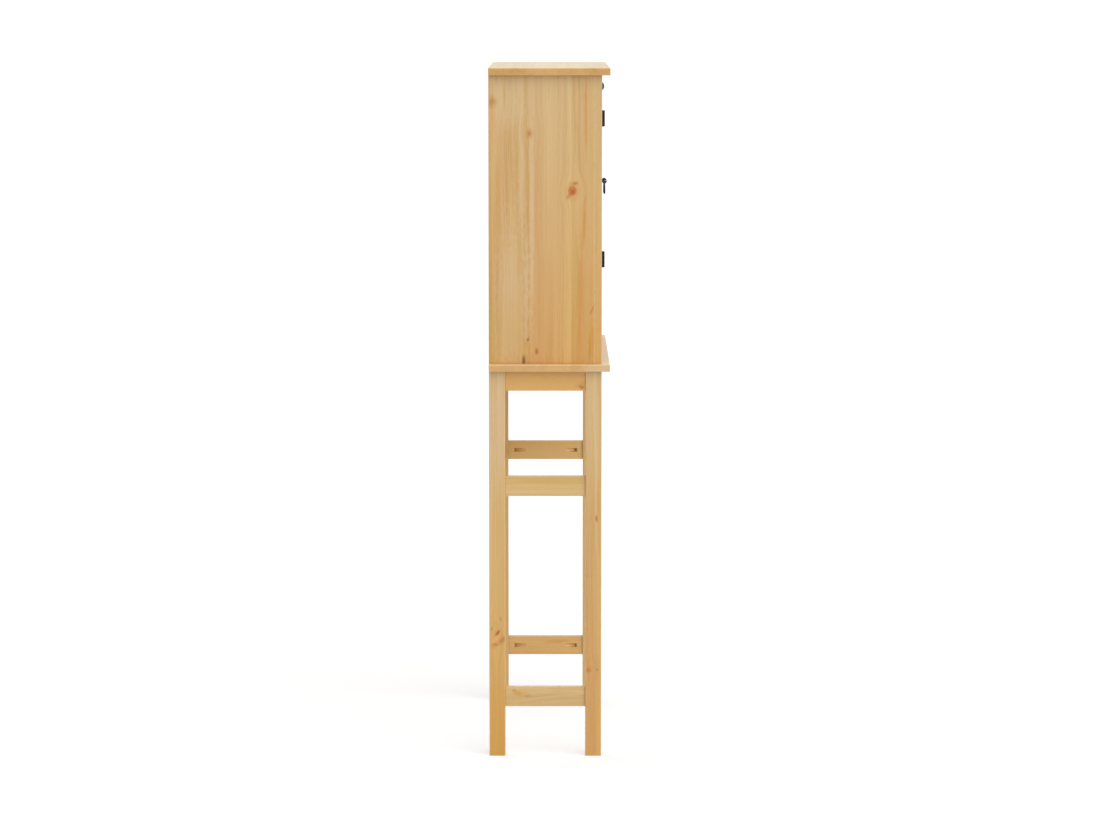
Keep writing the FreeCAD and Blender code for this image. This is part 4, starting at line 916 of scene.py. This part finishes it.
def cutSlot(screw, look, top):
    bpy.ops.object.select_all(action="DESELECT")
    bpy.ops.mesh.primitive_cube_add(size=1)
    blade = bpy.context.object
    bpy.ops.transform.resize(value=(3 * look["headRadius"], look["slotWide"], 2 * look["slotDeep"]))
    bpy.ops.transform.translate(value=(0, 0, top))
    bpy.ops.object.transform_apply(location=True, scale=True)
    groove = screw.modifiers.new("slot", "BOOLEAN")
    groove.operation, groove.object = "DIFFERENCE", blade
    pickObjects(screw)
    bpy.ops.object.modifier_apply(modifier="slot")
    discard(blade)


def makeScrews(look):
    domed = startDomed("domedScrewModel", look)
    closePiece(look["smooth"])
    cutSlot(domed, look, look["rise"])

    bpy.ops.object.select_all(action="DESELECT")
    bpy.ops.mesh.primitive_circle_add(vertices=look["sides"], radius=look["headRadius"], fill_type="NGON")
    sunk = startPiece("sunkScrewModel")
    bpy.ops.mesh.select_all(action="SELECT")
    bpy.ops.mesh.extrude_region_move(TRANSFORM_OT_translate={"value": (0, 0, -look["sink"])})
    share = look["radius"] / look["headRadius"]
    bpy.ops.transform.resize(value=(share, share, 1), center_override=(0, 0, -look["sink"]))
    drawShank(look["sink"], look["length"], look["tip"])
    closePiece(look["smooth"])
    cutSlot(sunk, look, 0.0)

    framePlaces, doorPlaces = [], {"left": [], "right": []}
    turn = look["firstTurn"]
    for side, door in ((-1, "left"), (1, "right")):
        leaves = (("frameNear", "frameFar", framePlaces), ("doorNear", "doorFar", doorPlaces[door]))
        for height in look["heights"]:
            for near, far, places in leaves:
                for out, rise in ((near, 0.0), (far, look["spread"]), (far, -look["spread"])):
                    turn += look["turnStep"]  # each slot stops at its own angle
                    places.append(((side * look[out], look["seat"], height + rise), (math.pi / 2, turn, 0)))
        for out in look["catchOut"]:
            turn += look["turnStep"]
            framePlaces.append(((side * out, look["catchY"], look["catchTop"]), (0, 0, turn)))
    piece = setCopies(domed, "frameScrews", framePlaces)
    settle(piece, "cabinet", "small_screws", finishes["black_iron"])
    for side, door in ((-1, "left"), (1, "right")):
        piece = setCopies(domed, door + "HingeScrews", doorPlaces[door])
        strikePlace = (side * look["strikeOut"], look["strikeY"], look["strikeZ"])
        strike = setCopies(sunk, door + "StrikeScrew", [(strikePlace, (-math.pi / 2, look["strikeTurn"], 0))])
        pickObjects(piece, strike)
        bpy.ops.object.join()
        settle(piece, door + "_door", door + "_door_screws", finishes["black_iron"])
    discard(domed)
    discard(sunk)


# drop pulls: copies of the CAD pieces, with a heavier wall round the eye and a thicker drop
pullLook = {"hang": 0.0016, "hole": 0.0041, "holeFloor": 0.0024, "holeShare": 0.86,  # about the swing's axis
            "armTop": 0.0030, "armThick": 1.3, "smooth": math.radians(30)}


def copyNode(node, name):  # CAD meshes come as loose triangles, so the copy is merged first
    piece = newObject(name, nodes[node].data.copy())
    pickObjects(piece)
    bpy.ops.mesh.customdata_custom_splitnormals_clear()
    bpy.ops.object.mode_set(mode="EDIT")
    bpy.ops.mesh.select_all(action="SELECT")
    bpy.ops.mesh.remove_doubles(threshold=nearZero)
    return piece


def pickPoints(piece, wanted):  # selects the points that pass the test, by place
    bpy.ops.mesh.select_mode(type="VERT")
    bpy.ops.mesh.select_all(action="DESELECT")
    bpy.ops.object.mode_set(mode="OBJECT")
    for point in piece.data.vertices:
        point.select = wanted(point.co)
    bpy.ops.object.mode_set(mode="EDIT")


def makePull(look, side, axis):
    eye = axis + Vector((0, 0, look["hang"]))
    mount = copyNode(side + "_pull_mount", side + "PullMount")
    pickPoints(mount, lambda point: (point - eye).yz.length < look["hole"])
    floor = axis - Vector((0, 0, look["holeFloor"]))  # the lowest line of the hole stays where the drop hangs
    bpy.ops.transform.resize(value=(1, look["holeShare"], look["holeShare"]), center_override=floor)
    closePiece(look["smooth"])
    settle(mount, side + "_door", side + "_pull_mount", finishes["black_iron"])
    drop = copyNode(side + "_pull_drop", side + "PullDrop")
    pickPoints(drop, lambda point: point.z < axis.z - look["armTop"])
    bpy.ops.transform.resize(value=(1, look["armThick"], 1), center_override=axis)
    closePiece(look["smooth"])
    settle(drop, side + "_pull", side + "_pull_drop", finishes["black_iron"])


makeStuds(studLook)
makeScrews(screwLook)
for joint in frame["joints"]:
    if joint["name"].endswith("_pull_swing"):
        makePull(pullLook, joint["name"].split("_")[0], Vector(joint["pos_m"]))
print("studs, screws and pulls modelled")


# floor, light and camera
floorLook = {"half": 1500.0, "pale": (0.64, 0.64, 0.64, 1.0), "glow": 0.42}


def seenDirectly(tree):  # 1 for rays from the camera, also by way of a mirror or glass
    path = addNode(tree, "LightPath").outputs
    bounced = calc("MAXIMUM", path["Is Glossy Ray"], path["Is Transmission Ray"])
    return calc("MAXIMUM", path["Is Camera Ray"], bounced)


def makeFloor(look):
    bpy.ops.object.select_all(action="DESELECT")
    bpy.ops.mesh.primitive_plane_add(size=2 * look["half"], location=(0, 0, cadLow.z))
    floor = bpy.context.object
    floor.name = "floor"
    bpy.ops.object.transform_apply(location=True)
    material, tree, shader = newMaterial("paleFloor")
    feedAll(shader, {
        "Base Color": look["pale"], "Roughness": 1.0, "Specular IOR Level": 0.0,
        "Emission Color": (1, 1, 1, 1), "Emission Strength": times(seenDirectly(tree), look["glow"])})
    floor.data.materials.append(material)


lightLook = {"sky": 0.53, "keyFrom": (-0.64, -0.46, 0.62), "keyWide": math.radians(75), "keyPower": 1.75,
             "fillFrom": (0.6, 0.55, 0.58), "fillWide": math.radians(70), "fillPower": 0.8}


def makeLights(look):
    world = bpy.data.worlds.new("studio")
    bpy.context.scene.world = world
    world.use_nodes = True
    tree = world.node_tree
    seen = seenDirectly(tree)
    sky = tree.nodes["Background"]
    sky.inputs["Color"].default_value = (1, 1, 1, 1)
    feed(sky.inputs["Strength"], addNode(tree, "MapRange", inputs={
        "Value": seen, "To Min": look["sky"], "To Max": 1.0}).outputs["Result"])
    for name in ("key", "fill"):
        lamp = bpy.data.lights.new(name + "Light", "SUN")  # a wide sun lights the whole floor alike
        lamp.angle, lamp.energy = look[name + "Wide"], look[name + "Power"]
        holder = newObject(name + "Light", lamp)
        holder.rotation_euler = (-Vector(look[name + "From"])).to_track_quat("-Z", "Y").to_euler()


cameraLook = {"place": (-8.879, -0.0018, 1.8987), "tilt": math.radians(6.887), "lens": 113.14, "sensor": 36.0,
              "farthest": 5000.0}


def makeCamera(look):
    eye = bpy.data.cameras.new("camera")
    eye.lens, eye.sensor_width, eye.clip_end = look["lens"], look["sensor"], look["farthest"]
    holder = newObject("camera", eye)
    holder.location = look["place"]
    holder.rotation_euler = (math.pi / 2 - look["tilt"], 0, -math.pi / 2)  # looks along +X and a little down
    bpy.context.scene.camera = holder


makeFloor(floorLook)
makeLights(lightLook)
makeCamera(cameraLook)
bpy.context.scene.view_settings.view_transform = "Standard"
print("floor, lights and camera set")
